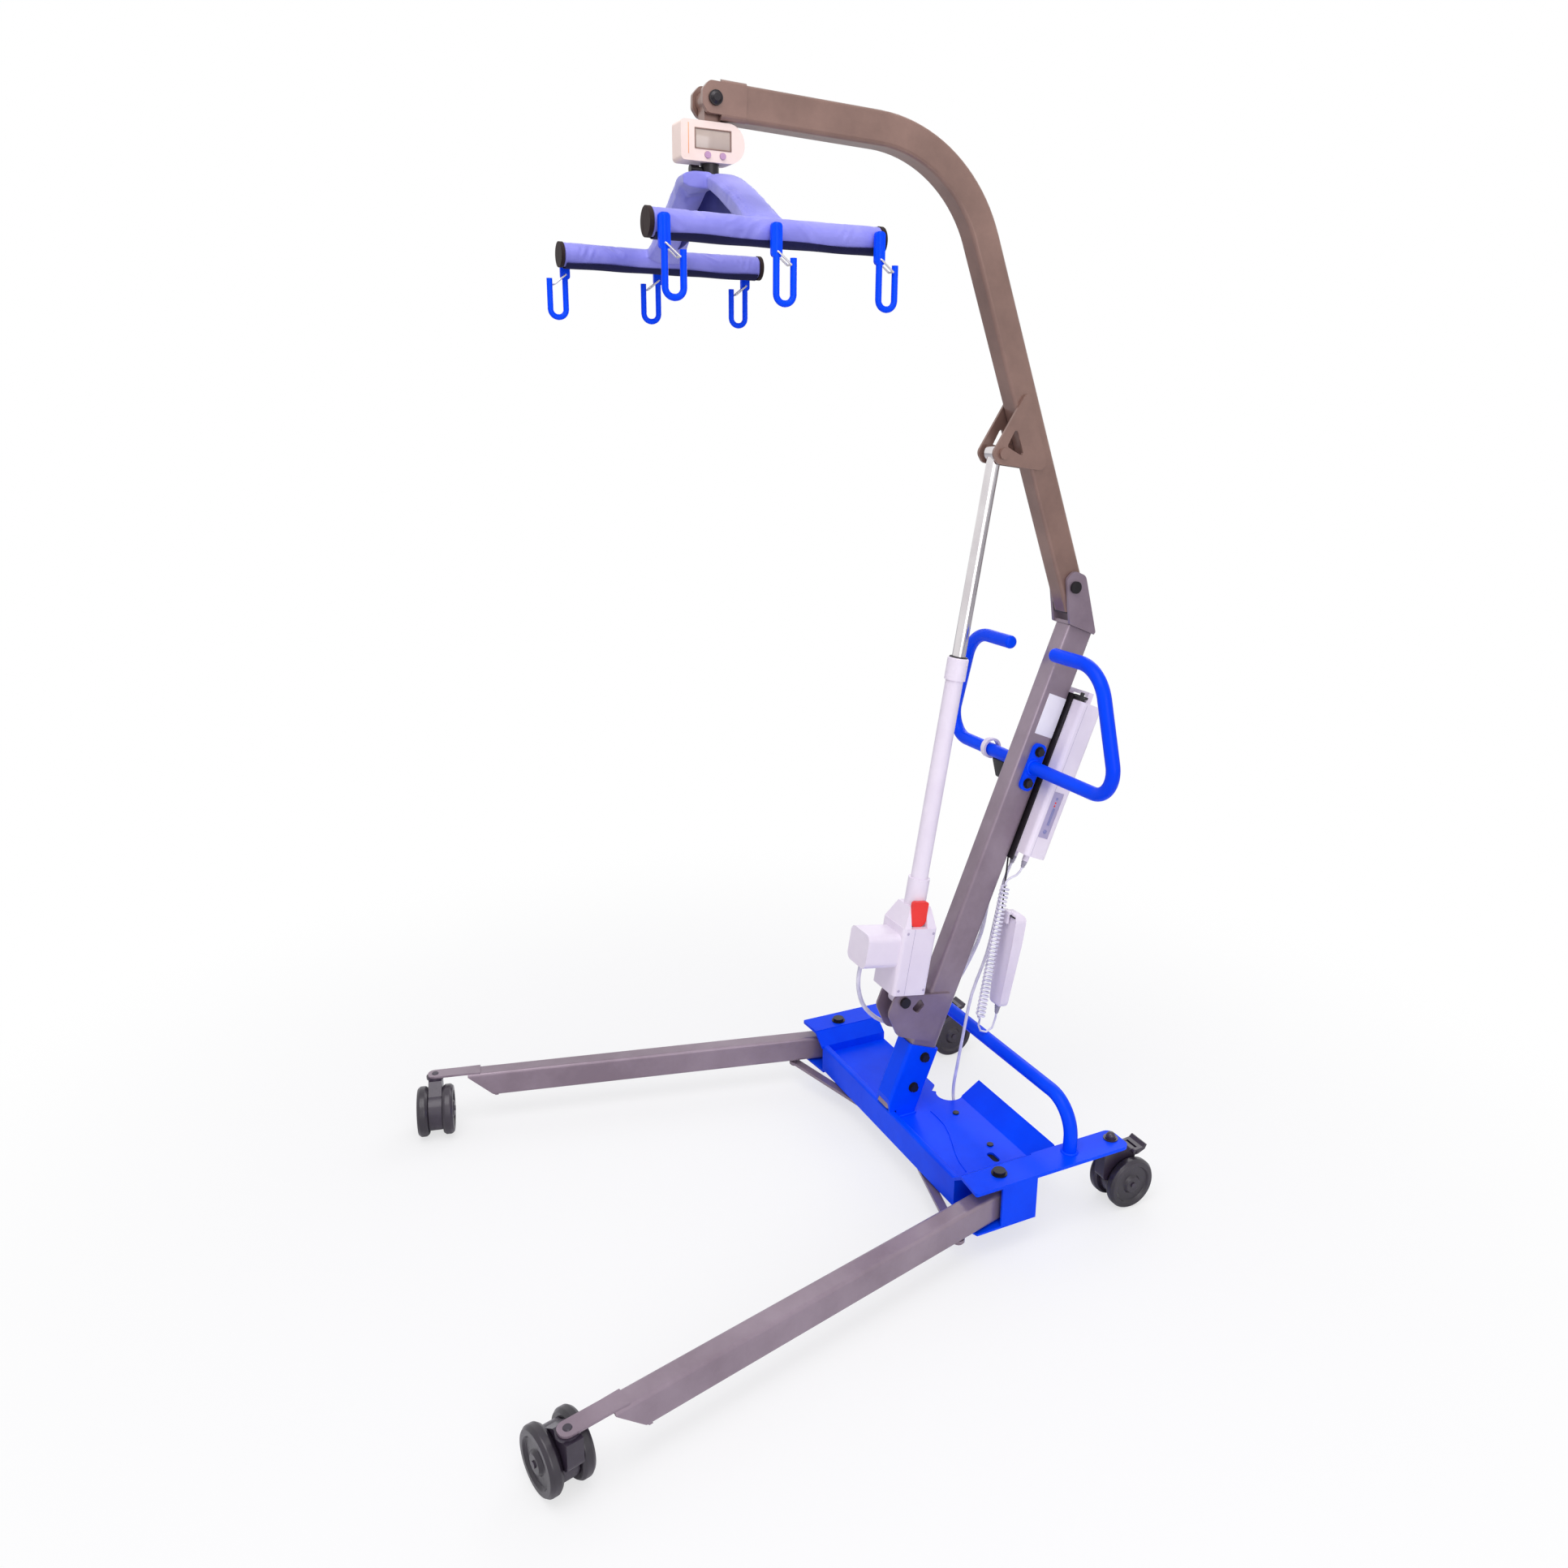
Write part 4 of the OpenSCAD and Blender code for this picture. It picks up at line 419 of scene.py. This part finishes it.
# Legs and linkage
# Rectangular steel tube with a slanted front end and a welded caster tab,
# powder coated a warm metallic grey, like the mast. Small parts are zinc plated.
grey_coat = coated("grey_coat", (0.215, 0.158, 0.200), (0.300, 0.232, 0.285), 0.30, 520, 0.0001,
                   metal=0.30, coat=0.25)
finish(grey_coat, "leg_right", "leg_left", "mast_tube", "mast_head", "tie_rod_right", "tie_rod_left",
       "motor_clevis")
zinc = coated("zinc_plate", (0.50, 0.48, 0.50), (0.66, 0.64, 0.66), 0.24, 260, 0.00005, metal=1.0)
finish(zinc, "leg_carriage", "boom_bush", "gate_right_front", "gate_right_middle", "gate_right_rear",
       "gate_left_front", "gate_left_middle", "gate_left_rear")

# Casters
# Twin wheel casters under the leg tabs and the rear arms: moulded hoods and
# pedals in dark nylon, and grey rubber treads.
hood_nylon = coated("hood_nylon", (0.020, 0.013, 0.026), (0.046, 0.033, 0.056), 0.34, 650, 0.00012,
                    coat=0.15)
finish(hood_nylon, "fork_front_right", "fork_front_left", "fork_rear_right", "fork_rear_left",
       "pedal_right", "pedal_left")
tread_rubber = coated("tread_rubber", (0.012, 0.009, 0.015), (0.036, 0.026, 0.042), 0.36, 800, 0.00012,
                      coat=0.2)
finish(tread_rubber, "wheels_front_right", "wheels_front_left", "wheels_rear_right", "wheels_rear_left")

# Lift motor and the other mouldings
# White moulded motor housing and tube, a chromed rod and a red release collar.
# The box, the battery, the handset and the clip are moulded in the same white.
white_shell = coated("white_shell", (0.76, 0.68, 0.80), (0.84, 0.77, 0.87), 0.36, 900, 0.0001)
finish(white_shell, "motor_housing", "motor_tube", "control_box", "battery_pack", "handset", "cord_clip")
red_shell = coated("red_shell", (0.78, 0.014, 0.010), (0.92, 0.028, 0.022), 0.30, 700, 0.0001)
finish(red_shell, "release_collar", "stop_button")
chrome = coated("chrome_rod", (0.62, 0.58, 0.60), (0.78, 0.75, 0.76), 0.14, 200, 0.00003, metal=1.0)
finish(chrome, "lift_rod")
key_grey = coated("key_grey", (0.13, 0.12, 0.16), (0.20, 0.19, 0.24), 0.45, 900, 0.0001)
finish(key_grey, "lift_key", "spread_key")

# Motor details
# The housing's moulded seam with its screws, and the wiper where the rod
# leaves the tube.
swing = math.radians(8.97)
motor_pin_y, motor_pin_z = -0.034, 0.335
seam_grey = coated("seam_grey", (0.42, 0.36, 0.50), (0.52, 0.46, 0.60), 0.5, 900, 0.0001)
wiper_black = coated("wiper_black", (0.010, 0.009, 0.011), (0.022, 0.019, 0.024), 0.5, 700, 0.0001)


def on_motor(x, y, w):
    """A point x across, y behind and w along the lift motor's rod, in metres."""
    return Vector((x, pivot_y + motor_pin_y + y * math.cos(swing) + w * math.sin(swing),
                   motor_pin_z + w * math.cos(swing) - y * math.sin(swing)))


def round_edges(width, segments):
    """Every edge of the active piece is rounded."""
    bpy.ops.object.mode_set(mode="EDIT")
    bpy.ops.mesh.select_all(action="SELECT")
    bpy.ops.mesh.bevel(offset=width, segments=segments, affect="EDGES")
    bpy.ops.object.mode_set(mode="OBJECT")


def block(at, size, turn=0.0, round_edge=0.0005):
    """A box with rounded edges, at a place, leaning by turn about X."""
    bpy.ops.object.select_all(action="DESELECT")
    bpy.ops.mesh.primitive_cube_add(size=1, location=at, rotation=(turn, 0, 0), scale=size)
    piece = bpy.context.active_object
    bpy.ops.object.transform_apply(location=False, rotation=False, scale=True)
    round_edges(round_edge, 2)
    return piece


settle(block(on_motor(0, -0.014, 0.085), (0.0786, 0.0008, 0.1285), -swing, 0.0002),
       "motor_seam", "actuator", seam_grey)
screws = []
for y, w in ((-0.028, 0.030), (0.026, 0.030), (-0.028, 0.141), (0.026, 0.141)):
    bpy.ops.object.select_all(action="DESELECT")
    bpy.ops.mesh.primitive_cylinder_add(vertices=28, radius=0.0027, depth=0.0010,
                                        location=on_motor(0.0392, y, w), rotation=(0, math.pi / 2, 0))
    screws.append(bpy.context.active_object)
    round_edges(0.0003, 2)
settle(joined(screws), "motor_screws", "actuator", seam_grey)
settle(ring(on_motor(0, 0, 0.6466), (-swing, 0, 0), 0.0147, 0.0019, 64, 14),
       "rod_wiper", "actuator", wiper_black, smooth=60)

# Slot shade
# A dark sheet under the adjusting slot of the tray, painted shade so that the
# slot shows dark.
# painted shade: a near-black sheet stands in for the shade inside the slot
slot_shade_black = coated("slot_shade_black", (0.008, 0.008, 0.014), (0.016, 0.016, 0.024), 0.7, 500, 0.0001,
                     shine=0.2)
settle(block((0.2122, pivot_y + 0.0510, 0.0896), (0.046, 0.030, 0.0016), 0, 0.0004),
       "slot_shade", "base", slot_shade_black)

# Mast plate and hook
# A plain white plate stuck on the mast's side over the handle, and the black
# moulded hook under the far handle.
plate_white = coated("plate_white", (0.80, 0.76, 0.86), (0.88, 0.85, 0.92), 0.32, 300, 0.00004)
settle(block(on_mast(0.0206, 0.005, 0.814), (0.0012, 0.042, 0.078), -lean, 0.0004),
       "mast_plate", "base", plate_white)
bpy.ops.object.select_all(action="DESELECT")
bpy.ops.mesh.primitive_cube_add(size=1, location=(-0.081, pivot_y + 0.226, 0.728),
                                scale=(0.040, 0.012, 0.036))
hook = bpy.context.active_object
bpy.ops.object.transform_apply(location=False, rotation=False, scale=True)
for v in hook.data.vertices:
    if v.co.z < 0:
        v.co.x *= 0.42
        v.co.y *= 0.6
round_edges(0.003, 3)
settle(hook, "handle_hook", "base", wiper_black)

# Control box details
# The side strip with its band, small lamps and round key, the moulded seams,
# the dark joint under the battery and the battery's black catch.
strip_lilac = coated("strip_lilac", (0.36, 0.31, 0.50), (0.47, 0.42, 0.62), 0.40, 800, 0.0001)
band_blue = coated("band_blue", (0.20, 0.20, 0.42), (0.28, 0.28, 0.52), 0.35, 800, 0.0001)
settle(block(on_mast(0.0594, 0.057, 0.641), (0.0010, 0.0232, 0.0892), -lean, 0.0004),
       "side_strip", "base", strip_lilac)
settle(block(on_mast(0.0602, 0.058, 0.638), (0.0012, 0.0056, 0.034), -lean, 0.0005),
       "side_band", "base", band_blue)
for number, (s_at, size, paint) in enumerate((
        (0.6735, 0.0028, band_blue), (0.6655, 0.0019, red_shell),
        (0.6595, 0.0019, red_shell), (0.6085, 0.0042, band_blue)), start=1):
    bpy.ops.object.select_all(action="DESELECT")
    bpy.ops.mesh.primitive_uv_sphere_add(segments=24, ring_count=12, radius=size,
                                         location=on_mast(0.0600, 0.057, s_at), scale=(0.45, 1, 1))
    settle(bpy.context.active_object, "side_lamp_%d" % number, "base", paint, smooth=60)
settle(block(on_mast(0, 0.059, 0.7197), (0.1202, 0.0502, 0.0011), -lean, 0.0003),
       "battery_joint", "base", wiper_black)
for name, body, part, s_at, long in (("box_seam", "base", "control_box", 0.637, 0.158),
                                     ("battery_seam", "battery", "battery_pack", 0.789, 0.132)):
    settle(block(on_mast(0, 0.0452, s_at), (0.1204, 0.0008, long), -lean, 0.0002),
           name, body, seam_grey)
catch = [block(on_mast(x, u, s), size, -lean, round_edge) for x, u, s, size, round_edge in (
    (0.030, 0.043, 0.8622, (0.030, 0.012, 0.008), 0.0015),
    (0.030, 0.050, 0.8665, (0.018, 0.020, 0.005), 0.0012),
    (0.041, 0.041, 0.8700, (0.005, 0.007, 0.010), 0.0010))]
settle(joined(catch), "battery_catch", "battery", wiper_black)

# Handset details
# Raised white arrows on the two rocker keys, one up and one down on each,
# moulded on the key's face.
arrow_gap = 0.0078
key_out = Vector((0, math.cos(hand_lean), -math.sin(hand_lean))) * 0.0131
for key, s_key in (("lift_key", 0.142), ("spread_key", 0.108)):
    arrows = []
    for points_down, s_at in ((False, s_key + arrow_gap), (True, s_key - arrow_gap)):
        bpy.ops.object.select_all(action="DESELECT")
        bpy.ops.mesh.primitive_cylinder_add(vertices=3, radius=0.0034, depth=0.0009,
                                            location=hand_low + hand_axis * s_at + key_out,
                                            rotation=(-hand_lean - math.pi / 2, 0, 0))
        arrow = bpy.context.active_object
        bpy.ops.object.transform_apply(location=False, rotation=True, scale=False)
        if points_down:
            for v in arrow.data.vertices:
                v.co -= hand_axis * (2 * v.co.dot(hand_axis))
            bpy.ops.object.mode_set(mode="EDIT")
            bpy.ops.mesh.select_all(action="SELECT")
            bpy.ops.mesh.flip_normals()
            bpy.ops.object.mode_set(mode="OBJECT")
        arrows.append(arrow)
    settle(joined(arrows), key + "_arrows", key, plate_white)

# Strain reliefs
# Ribbed grey boots on the leads where they leave the box and where they go
# into the lift motor, the leg motor and the handset.
boot_grey = coated("boot_grey", (0.30, 0.28, 0.36), (0.40, 0.38, 0.46), 0.5, 700, 0.0001)
down_mast = (on_mast(0, 0, 0) - on_mast(0, 0, 1)).normalized()
into_motor = (lift_way[-1] - lift_way[-2]).normalized()
rib = 0.0009
for name, at, toward, wide, narrow, long in (
        ("lift_boot", lift_way[0], down_mast, 0.0058, 0.0046, 0.017),
        ("leg_boot", leg_way[0], down_mast, 0.0056, 0.0036, 0.016),
        ("hand_boot", hand_way[0], down_mast, 0.0054, 0.0027, 0.014),
        ("motor_boot", lift_way[-1] + into_motor * 0.0006, -into_motor, 0.0068, 0.0047, 0.018),
        ("leg_motor_boot", leg_way[-1], (leg_way[-2] - leg_way[-1]).normalized(), 0.0062, 0.0037, 0.016),
        ("handset_boot", hand_low, -hand_axis, 0.0056, 0.0028, 0.018)):
    lie = toward.to_track_quat("Z", "Y").to_euler()
    bpy.ops.object.select_all(action="DESELECT")
    bpy.ops.mesh.primitive_cone_add(vertices=32, radius1=wide, radius2=narrow, depth=long,
                                    location=at + toward * long / 2, rotation=lie)
    boot = [bpy.context.active_object]
    for k in range(4):
        share = 0.22 + 0.2 * k
        boot.append(ring(at + toward * long * share, lie, wide + (narrow - wide) * share, rib, 32, 8))
    body, part = ("actuator", "motor_housing") if name == "motor_boot" else ("base", "control_box")
    settle(joined(boot), name, body, boot_grey, smooth=50)

# Boom
# Rectangular tube bent in one sweep and coated a warmer grey, with its lift
# bracket, tip sleeve and hanger eye. A black plug closes the tube's foot.
boom_coat = coated("boom_coat", (0.190, 0.112, 0.092), (0.275, 0.165, 0.135), 0.30, 520, 0.0001,
                   metal=0.35, coat=0.25)
finish(boom_coat, "boom_tube", "lift_bracket", "boom_tip", "hanger_eye")
boom_lean = math.radians(21)
boom_foot = 0.0413
plug_at = (0, pivot_y + 0.293 + boom_foot * math.sin(boom_lean), 1.090 - boom_foot * math.cos(boom_lean))
settle(block(plug_at, (0.0396, 0.0496, 0.003), boom_lean, 0.001),
       "boom_plug", "boom", wiper_black)

# Weighing unit
# Cream moulded case hung under the boom's tip, with a number display in a
# brown rim, a peach line beside it and two rubber keys.
tip_y, tip_z = -0.1453, 1.8131
screen_y, screen_z = tip_y - 0.0015, tip_z - 0.0530
cream_shell = coated("cream_shell", (0.83, 0.66, 0.59), (0.92, 0.75, 0.68), 0.38, 900, 0.0001)
finish(cream_shell, "scale_unit")
finish(black_steel, "tip_bolt")
lcd_glass = coated("lcd_glass", (0.42, 0.33, 0.28), (0.52, 0.42, 0.36), 0.12, 200, 0.00001, coat=0.6)
settle(block((0.0170, screen_y, screen_z), (0.0010, 0.0520, 0.0242), 0, 0.0003),
       "display_glass", "hanger", lcd_glass)
rim = [block((0.0178, screen_y, tip_z - down), (0.0016, 0.0560, 0.0018)) for down in (0.0400, 0.0660)]
rim += [block((0.0178, tip_y + y, screen_z), (0.0016, 0.0018, 0.0270)) for y in (-0.0287, 0.0257)]
brown_rim = coated("brown_rim", (0.20, 0.115, 0.090), (0.27, 0.165, 0.135), 0.4, 700, 0.0001)
settle(joined(rim), "display_rim", "hanger", brown_rim)
peach = coated("peach_line", (0.85, 0.30, 0.10), (0.92, 0.42, 0.18), 0.45, 900, 0.0001)
settle(block((0.0181, tip_y - 0.0388, tip_z - 0.0540), (0.0004, 0.0011, 0.0400), 0, 0.0001),
       "scale_line", "hanger", peach)
plum_key = coated("plum_key", (0.45, 0.25, 0.42), (0.55, 0.33, 0.50), 0.5, 900, 0.0001)
finish(plum_key, "scale_key_one", "scale_key_two")

# Cradle
# Black steel cradle under the cover: two bars with end caps, joined by two
# sloping straps under the swivel.
cradle_at = Vector((0, -0.1453, 1.6181))
bar_x = 0.207
cap_black = coated("cap_black", (0.010, 0.004, 0.004), (0.020, 0.009, 0.009), 0.6, 500, 0.0001, shine=0.2)
finish(black_steel, "cradle_swivel")
finish(cap_black, "cradle_frame")

# Cradle cover
# A sleeve of lilac coated fabric over foam on each bar and strap, sewn where
# they meet, with a double seam along each slope and folds where it is pulled.
cover_vinyl, tree, face = new_paint("cover_vinyl")
where = shade_node(tree, "TexCoord")
cloudy = shade_node(tree, "TexNoise", Scale=11, Detail=5)
tint = two_shades(tree, 0.32, (0.150, 0.150, 0.560), 0.68, (0.290, 0.285, 0.800))
weave = shade_node(tree, "TexWave", Scale=620, Distortion=0.4)
crepe = shade_node(tree, "TexNoise", Scale=240, Detail=4)
mixed = shade_node(tree, "Math")
mixed.operation = "MULTIPLY_ADD"
mixed.inputs[1].default_value = 0.35
bump = shade_node(tree, "Bump", Strength=0.45, Distance=0.0003)
feed(tree,
     (where.outputs["Object"], cloudy.inputs["Vector"]),
     (where.outputs["Object"], weave.inputs["Vector"]),
     (where.outputs["Object"], crepe.inputs["Vector"]),
     (cloudy.outputs["Fac"], tint.inputs["Fac"]),
     (tint.outputs["Color"], face.inputs["Base Color"]),
     (weave.outputs["Fac"], mixed.inputs[0]),
     (crepe.outputs["Fac"], mixed.inputs[2]),
     (mixed.outputs[0], bump.inputs["Height"]),
     (bump.outputs["Normal"], face.inputs["Normal"]))
face.inputs["Roughness"].default_value = 0.46
face.inputs["Sheen Weight"].default_value = 0.25
face.inputs["Sheen Roughness"].default_value = 0.5

# The straps stand a little turned and beside the middle, as in the photograph
strap_turn = Matrix.Rotation(math.radians(-5.2), 4, "Z")
strap_off = Vector((0, 0.017, 0))
sleeve_long = 0.3255
sleeve_radius = 0.0178


def part_of(value):
    """A share, held between none and all."""
    return max(0.0, min(1.0, value))


def down_slope(along):
    """How far down the strap's slope a place along it lies."""
    return part_of((along - 0.016) / 0.187)


def slope_top(over, crown):
    """The height of the sleeve's upper face over the cradle's middle."""
    return crown - 0.0762 * over + 0.0040 * math.sin(math.pi * over)


def slab(cuts):
    """A slab cut up finely enough to be bent."""
    bpy.ops.object.select_all(action="DESELECT")
    bpy.ops.mesh.primitive_cube_add(size=1)
    piece = bpy.context.active_object
    bpy.ops.object.mode_set(mode="EDIT")
    bpy.ops.mesh.subdivide(number_cuts=cuts)
    bpy.ops.object.mode_set(mode="OBJECT")
    return piece


sewn = []
for half in (0, math.pi):
    place = Matrix.Translation(cradle_at) @ Matrix.Rotation(half, 4, "Z")
    # the round sleeve of one bar
    bpy.ops.object.select_all(action="DESELECT")
    bpy.ops.mesh.primitive_cylinder_add(vertices=64, radius=sleeve_radius, depth=sleeve_long,
                                        rotation=(math.pi / 2, 0, 0), location=place @ Vector((bar_x, 0, 0)))
    sewn.append(bpy.context.active_object)
    # the flat padded sleeve of one strap, bent over its slope
    slope = slab(23)
    for v in slope.data.vertices:
        along = -0.0165 + (v.co.x + 0.5) * 0.2235
        over = down_slope(along)
        top = slope_top(over, 0.0952)
        under = 0.0718 - 0.0760 * part_of((along - 0.010) / 0.182)
        rim = 2 * abs(v.co.y)
        height = top + (under - top) * (0.5 - v.co.z) - 0.0058 * rim ** 3 * (2 * v.co.z)
        wide = 0.0535 + 0.010 * over ** 4
        v.co = place @ (strap_turn @ Vector((along, v.co.y * wide, height)) + strap_off)
    sewn.append(slope)
cover = joined(sewn)
bpy.ops.object.transform_apply(location=True, rotation=True, scale=True)
cover.data.remesh_voxel_size = 0.0036
bpy.ops.object.voxel_remesh()

# The foam's filling: pressure puffs the sleeve up, less on the bars
last_frame = 20
bar_reach = 0.0215
bar_puff, strap_puff = 0.0011, 0.0048
before = [v.co.copy() for v in cover.data.vertices]
fill = cover.modifiers.new("fill", "CLOTH")
fill.settings.quality = 6
fill.settings.mass = 0.25
fill.settings.tension_stiffness = 12
fill.settings.compression_stiffness = 12
fill.settings.shear_stiffness = 5
fill.settings.bending_stiffness = 0.6
fill.settings.use_pressure = True
fill.settings.uniform_pressure_force = 4
fill.settings.shrink_min = -0.05
fill.settings.effector_weights.gravity = 0
fill.collision_settings.use_collision = False
fill.point_cache.frame_start = 1
fill.point_cache.frame_end = last_frame
for step in range(1, last_frame + 1):
    bpy.context.scene.frame_set(step)
puffed = cover.evaluated_get(bpy.context.evaluated_depsgraph_get())
after = [v.co.copy() for v in puffed.data.vertices]
cover.modifiers.remove(fill)
bpy.context.scene.frame_set(1)
for v, old, new in zip(cover.data.vertices, before, after):
    from_bar = min(math.hypot(old.x - s * bar_x, old.z - cradle_at.z) for s in (-1, 1))
    most = bar_puff if from_bar < bar_reach else strap_puff
    step = new - old
    v.co = old + step * min(1, most / max(step.length, 1e-9))
bpy.ops.object.select_all(action="DESELECT")
cover.select_set(True)
bpy.context.view_layer.objects.active = cover
round_off = cover.modifiers.new("round_off", "SUBSURF")
round_off.levels = round_off.render_levels = 1
bpy.ops.object.modifier_apply(modifier="round_off")


# Seams and folds: each line is sunk along the face's own normal, with its two
# lips raised. Points are across, along and above the middle of the cradle.
def on_slope(side, along, across):
    """A point on the sleeve's top, along the strap and across it."""
    spot = strap_turn @ Vector((along, across, 0)) + strap_off
    return Vector((side * spot.x, side * spot.y, slope_top(down_slope(along), 0.0962)))


hem_radius, hem_end = 0.0188, 0.1565
folds = []
for side in (1, -1):
    for across in (-0.0195, 0.0205):
        knots = [on_slope(side, 0.018 + 0.175 * k / 12, across) for k in range(13)]
        folds += [(a, b, 0.0026, 0.0013) for a, b in zip(knots, knots[1:])]
    # pulled folds from the foot of the slope over the bar's face
    for start, end, wide, deep in (
            ((0.222, -0.052, -0.010), (0.214, -0.018, 0.016), 0.006875, 0.00304),
            ((0.224, -0.066, -0.002), (0.212, -0.030, 0.017), 0.005625, 0.0019),
            ((0.222, 0.040, 0.012), (0.224, 0.062, -0.008), 0.00625, 0.00209),
            ((0.220, -0.150, 0.008), (0.225, -0.128, -0.006), 0.00625, 0.00171),
            ((0.208, -0.112, 0.019), (0.221, -0.100, 0.010), 0.005625, 0.00171),
            ((0.224, 0.098, -0.004), (0.214, 0.118, 0.016), 0.00625, 0.00171),
            ((0.192, -0.092, 0.010), (0.200, -0.070, 0.018), 0.00625, 0.00228),
            ((0.190, 0.075, 0.006), (0.202, 0.092, 0.018), 0.006875, 0.00247),
            ((0.190, 0.132, -0.006), (0.196, 0.122, 0.014), 0.00625, 0.00228),
            ((0.189, -0.135, -0.004), (0.200, -0.142, 0.017), 0.00625, 0.00228)):
        a, b = (Vector((side * x, side * y, z)) for x, y, z in (start, end))
        folds.append((a, b, wide, deep))
    # sewn hems near the two ends of the bar's sleeve
    for end in (-hem_end, hem_end):
        hem = [Vector((side * bar_x + hem_radius * math.cos(k * math.pi / 12), side * end,
                       hem_radius * math.sin(k * math.pi / 12))) for k in range(25)]
        folds += [(a, b, 0.0018, 0.0007) for a, b in zip(hem, hem[1:])]

near = 0.05
stitched = 0.004
lip_end = 2.4
moves = [0.0] * len(cover.data.vertices)
for a, b, wide, deep in folds:
    line = b - a
    for v in cover.data.vertices:
        off = v.co - cradle_at - a
        if abs(off.x) > near or abs(off.y) > near:
            continue
        t = part_of(off.dot(line) / line.length_squared)
        away = (off - line * t).length / wide
        if away < lip_end:
            # a fold fades out at its ends, a stitched line doesn't
            fade = 1.0 if wide < stitched else math.sin(math.pi * max(0.04, min(0.96, t))) ** 0.5
            shape = math.cos(away * math.pi / 2) if away < 1 else 0.35 * math.sin((away - 1) * math.pi / 1.4)
            push = -deep * fade * shape
            if abs(push) > abs(moves[v.index]):
                moves[v.index] = push

# The swivel stands in a hollow of the cover, flat inside and sloping to its rim
hollow, hollow_rim = 0.0150, 0.0185
hollow_z = cradle_at.z + 0.0845
outward = [v.normal.copy() for v in cover.data.vertices]
for v, push, out_of in zip(cover.data.vertices, moves, outward):
    v.co += out_of * push
    from_middle = math.hypot(v.co.x, v.co.y - cradle_at.y)
    if from_middle < hollow_rim and v.co.z > cradle_at.z + 0.084:
        v.co.z -= (v.co.z - hollow_z) * (1 - max(0.0, (from_middle - hollow) / (hollow_rim - hollow)))
bpy.ops.object.shade_smooth()
cover.name = "cradle_pad"
cover.data.name = "cradle_pad"
cover.data.materials.clear()
cover.data.materials.append(cover_vinyl)
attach(cover, "cradle")
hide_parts("cradle_cover")
finish(cover_vinyl, "cradle_cover")

# Lining and underside shade strips
# The lining that closes the cover under its arch, its dark blue painted shade,
# and a nearly black strip along each bar's sleeve underside as painted shade.
# painted shade: the lining's dark navy stands in for the shade under the arch
lining_shade_navy = coated("lining_shade_navy", (0.012, 0.013, 0.115), (0.022, 0.024, 0.185), 0.6, 420, 0.0003,
                     shine=0.25)
# painted shade: near-black stands in for the shade along each bar's underside
underside_shade_navy = coated("underside_shade_navy", (0.004, 0.004, 0.030), (0.010, 0.010, 0.060), 0.8, 900, 0.0004,
                    shine=0.2)
flap_wide, flap_thick = 0.346, 0.0026
strip_radius, strip_thick, strip_long = 0.0195, 0.0012, 0.322
flap = slab(39)
for v in flap.data.vertices:
    across = v.co.x * flap_wide
    low = 0.007 + 0.015 * (1 - (2 * v.co.x) ** 2)
    high = 0.0785 - max(0.0, abs(across) - 0.016) * 0.46
    rise = v.co.z + 0.5
    sway = 0.0022 * math.sin(34 * across) * (1 - rise) + 0.0008 * math.sin(90 * across + 5 * rise)
    v.co = cradle_at + Vector((across, v.co.y * flap_thick + sway, low + (high - low) * rise))
settle(flap, "cover_lining", "cradle", lining_shade_navy, smooth=50)
# painted shade strips, bent round the lower face of each bar's sleeve
strips = []
for side in (1, -1):
    strip = slab(47)
    for v in strip.data.vertices:
        round_bar = math.radians(-90 + 100 * v.co.x + 3 * math.sin(16 * v.co.y))
        out = strip_radius + v.co.z * strip_thick + 0.0003 * math.sin(23 * v.co.y)
        v.co = cradle_at + Vector((side * bar_x + out * math.cos(round_bar), v.co.y * strip_long,
                                   out * math.sin(round_bar)))
    strips.append(strip)
settle(joined(strips), "underside_shade_strips", "cradle", underside_shade_navy, smooth=50)
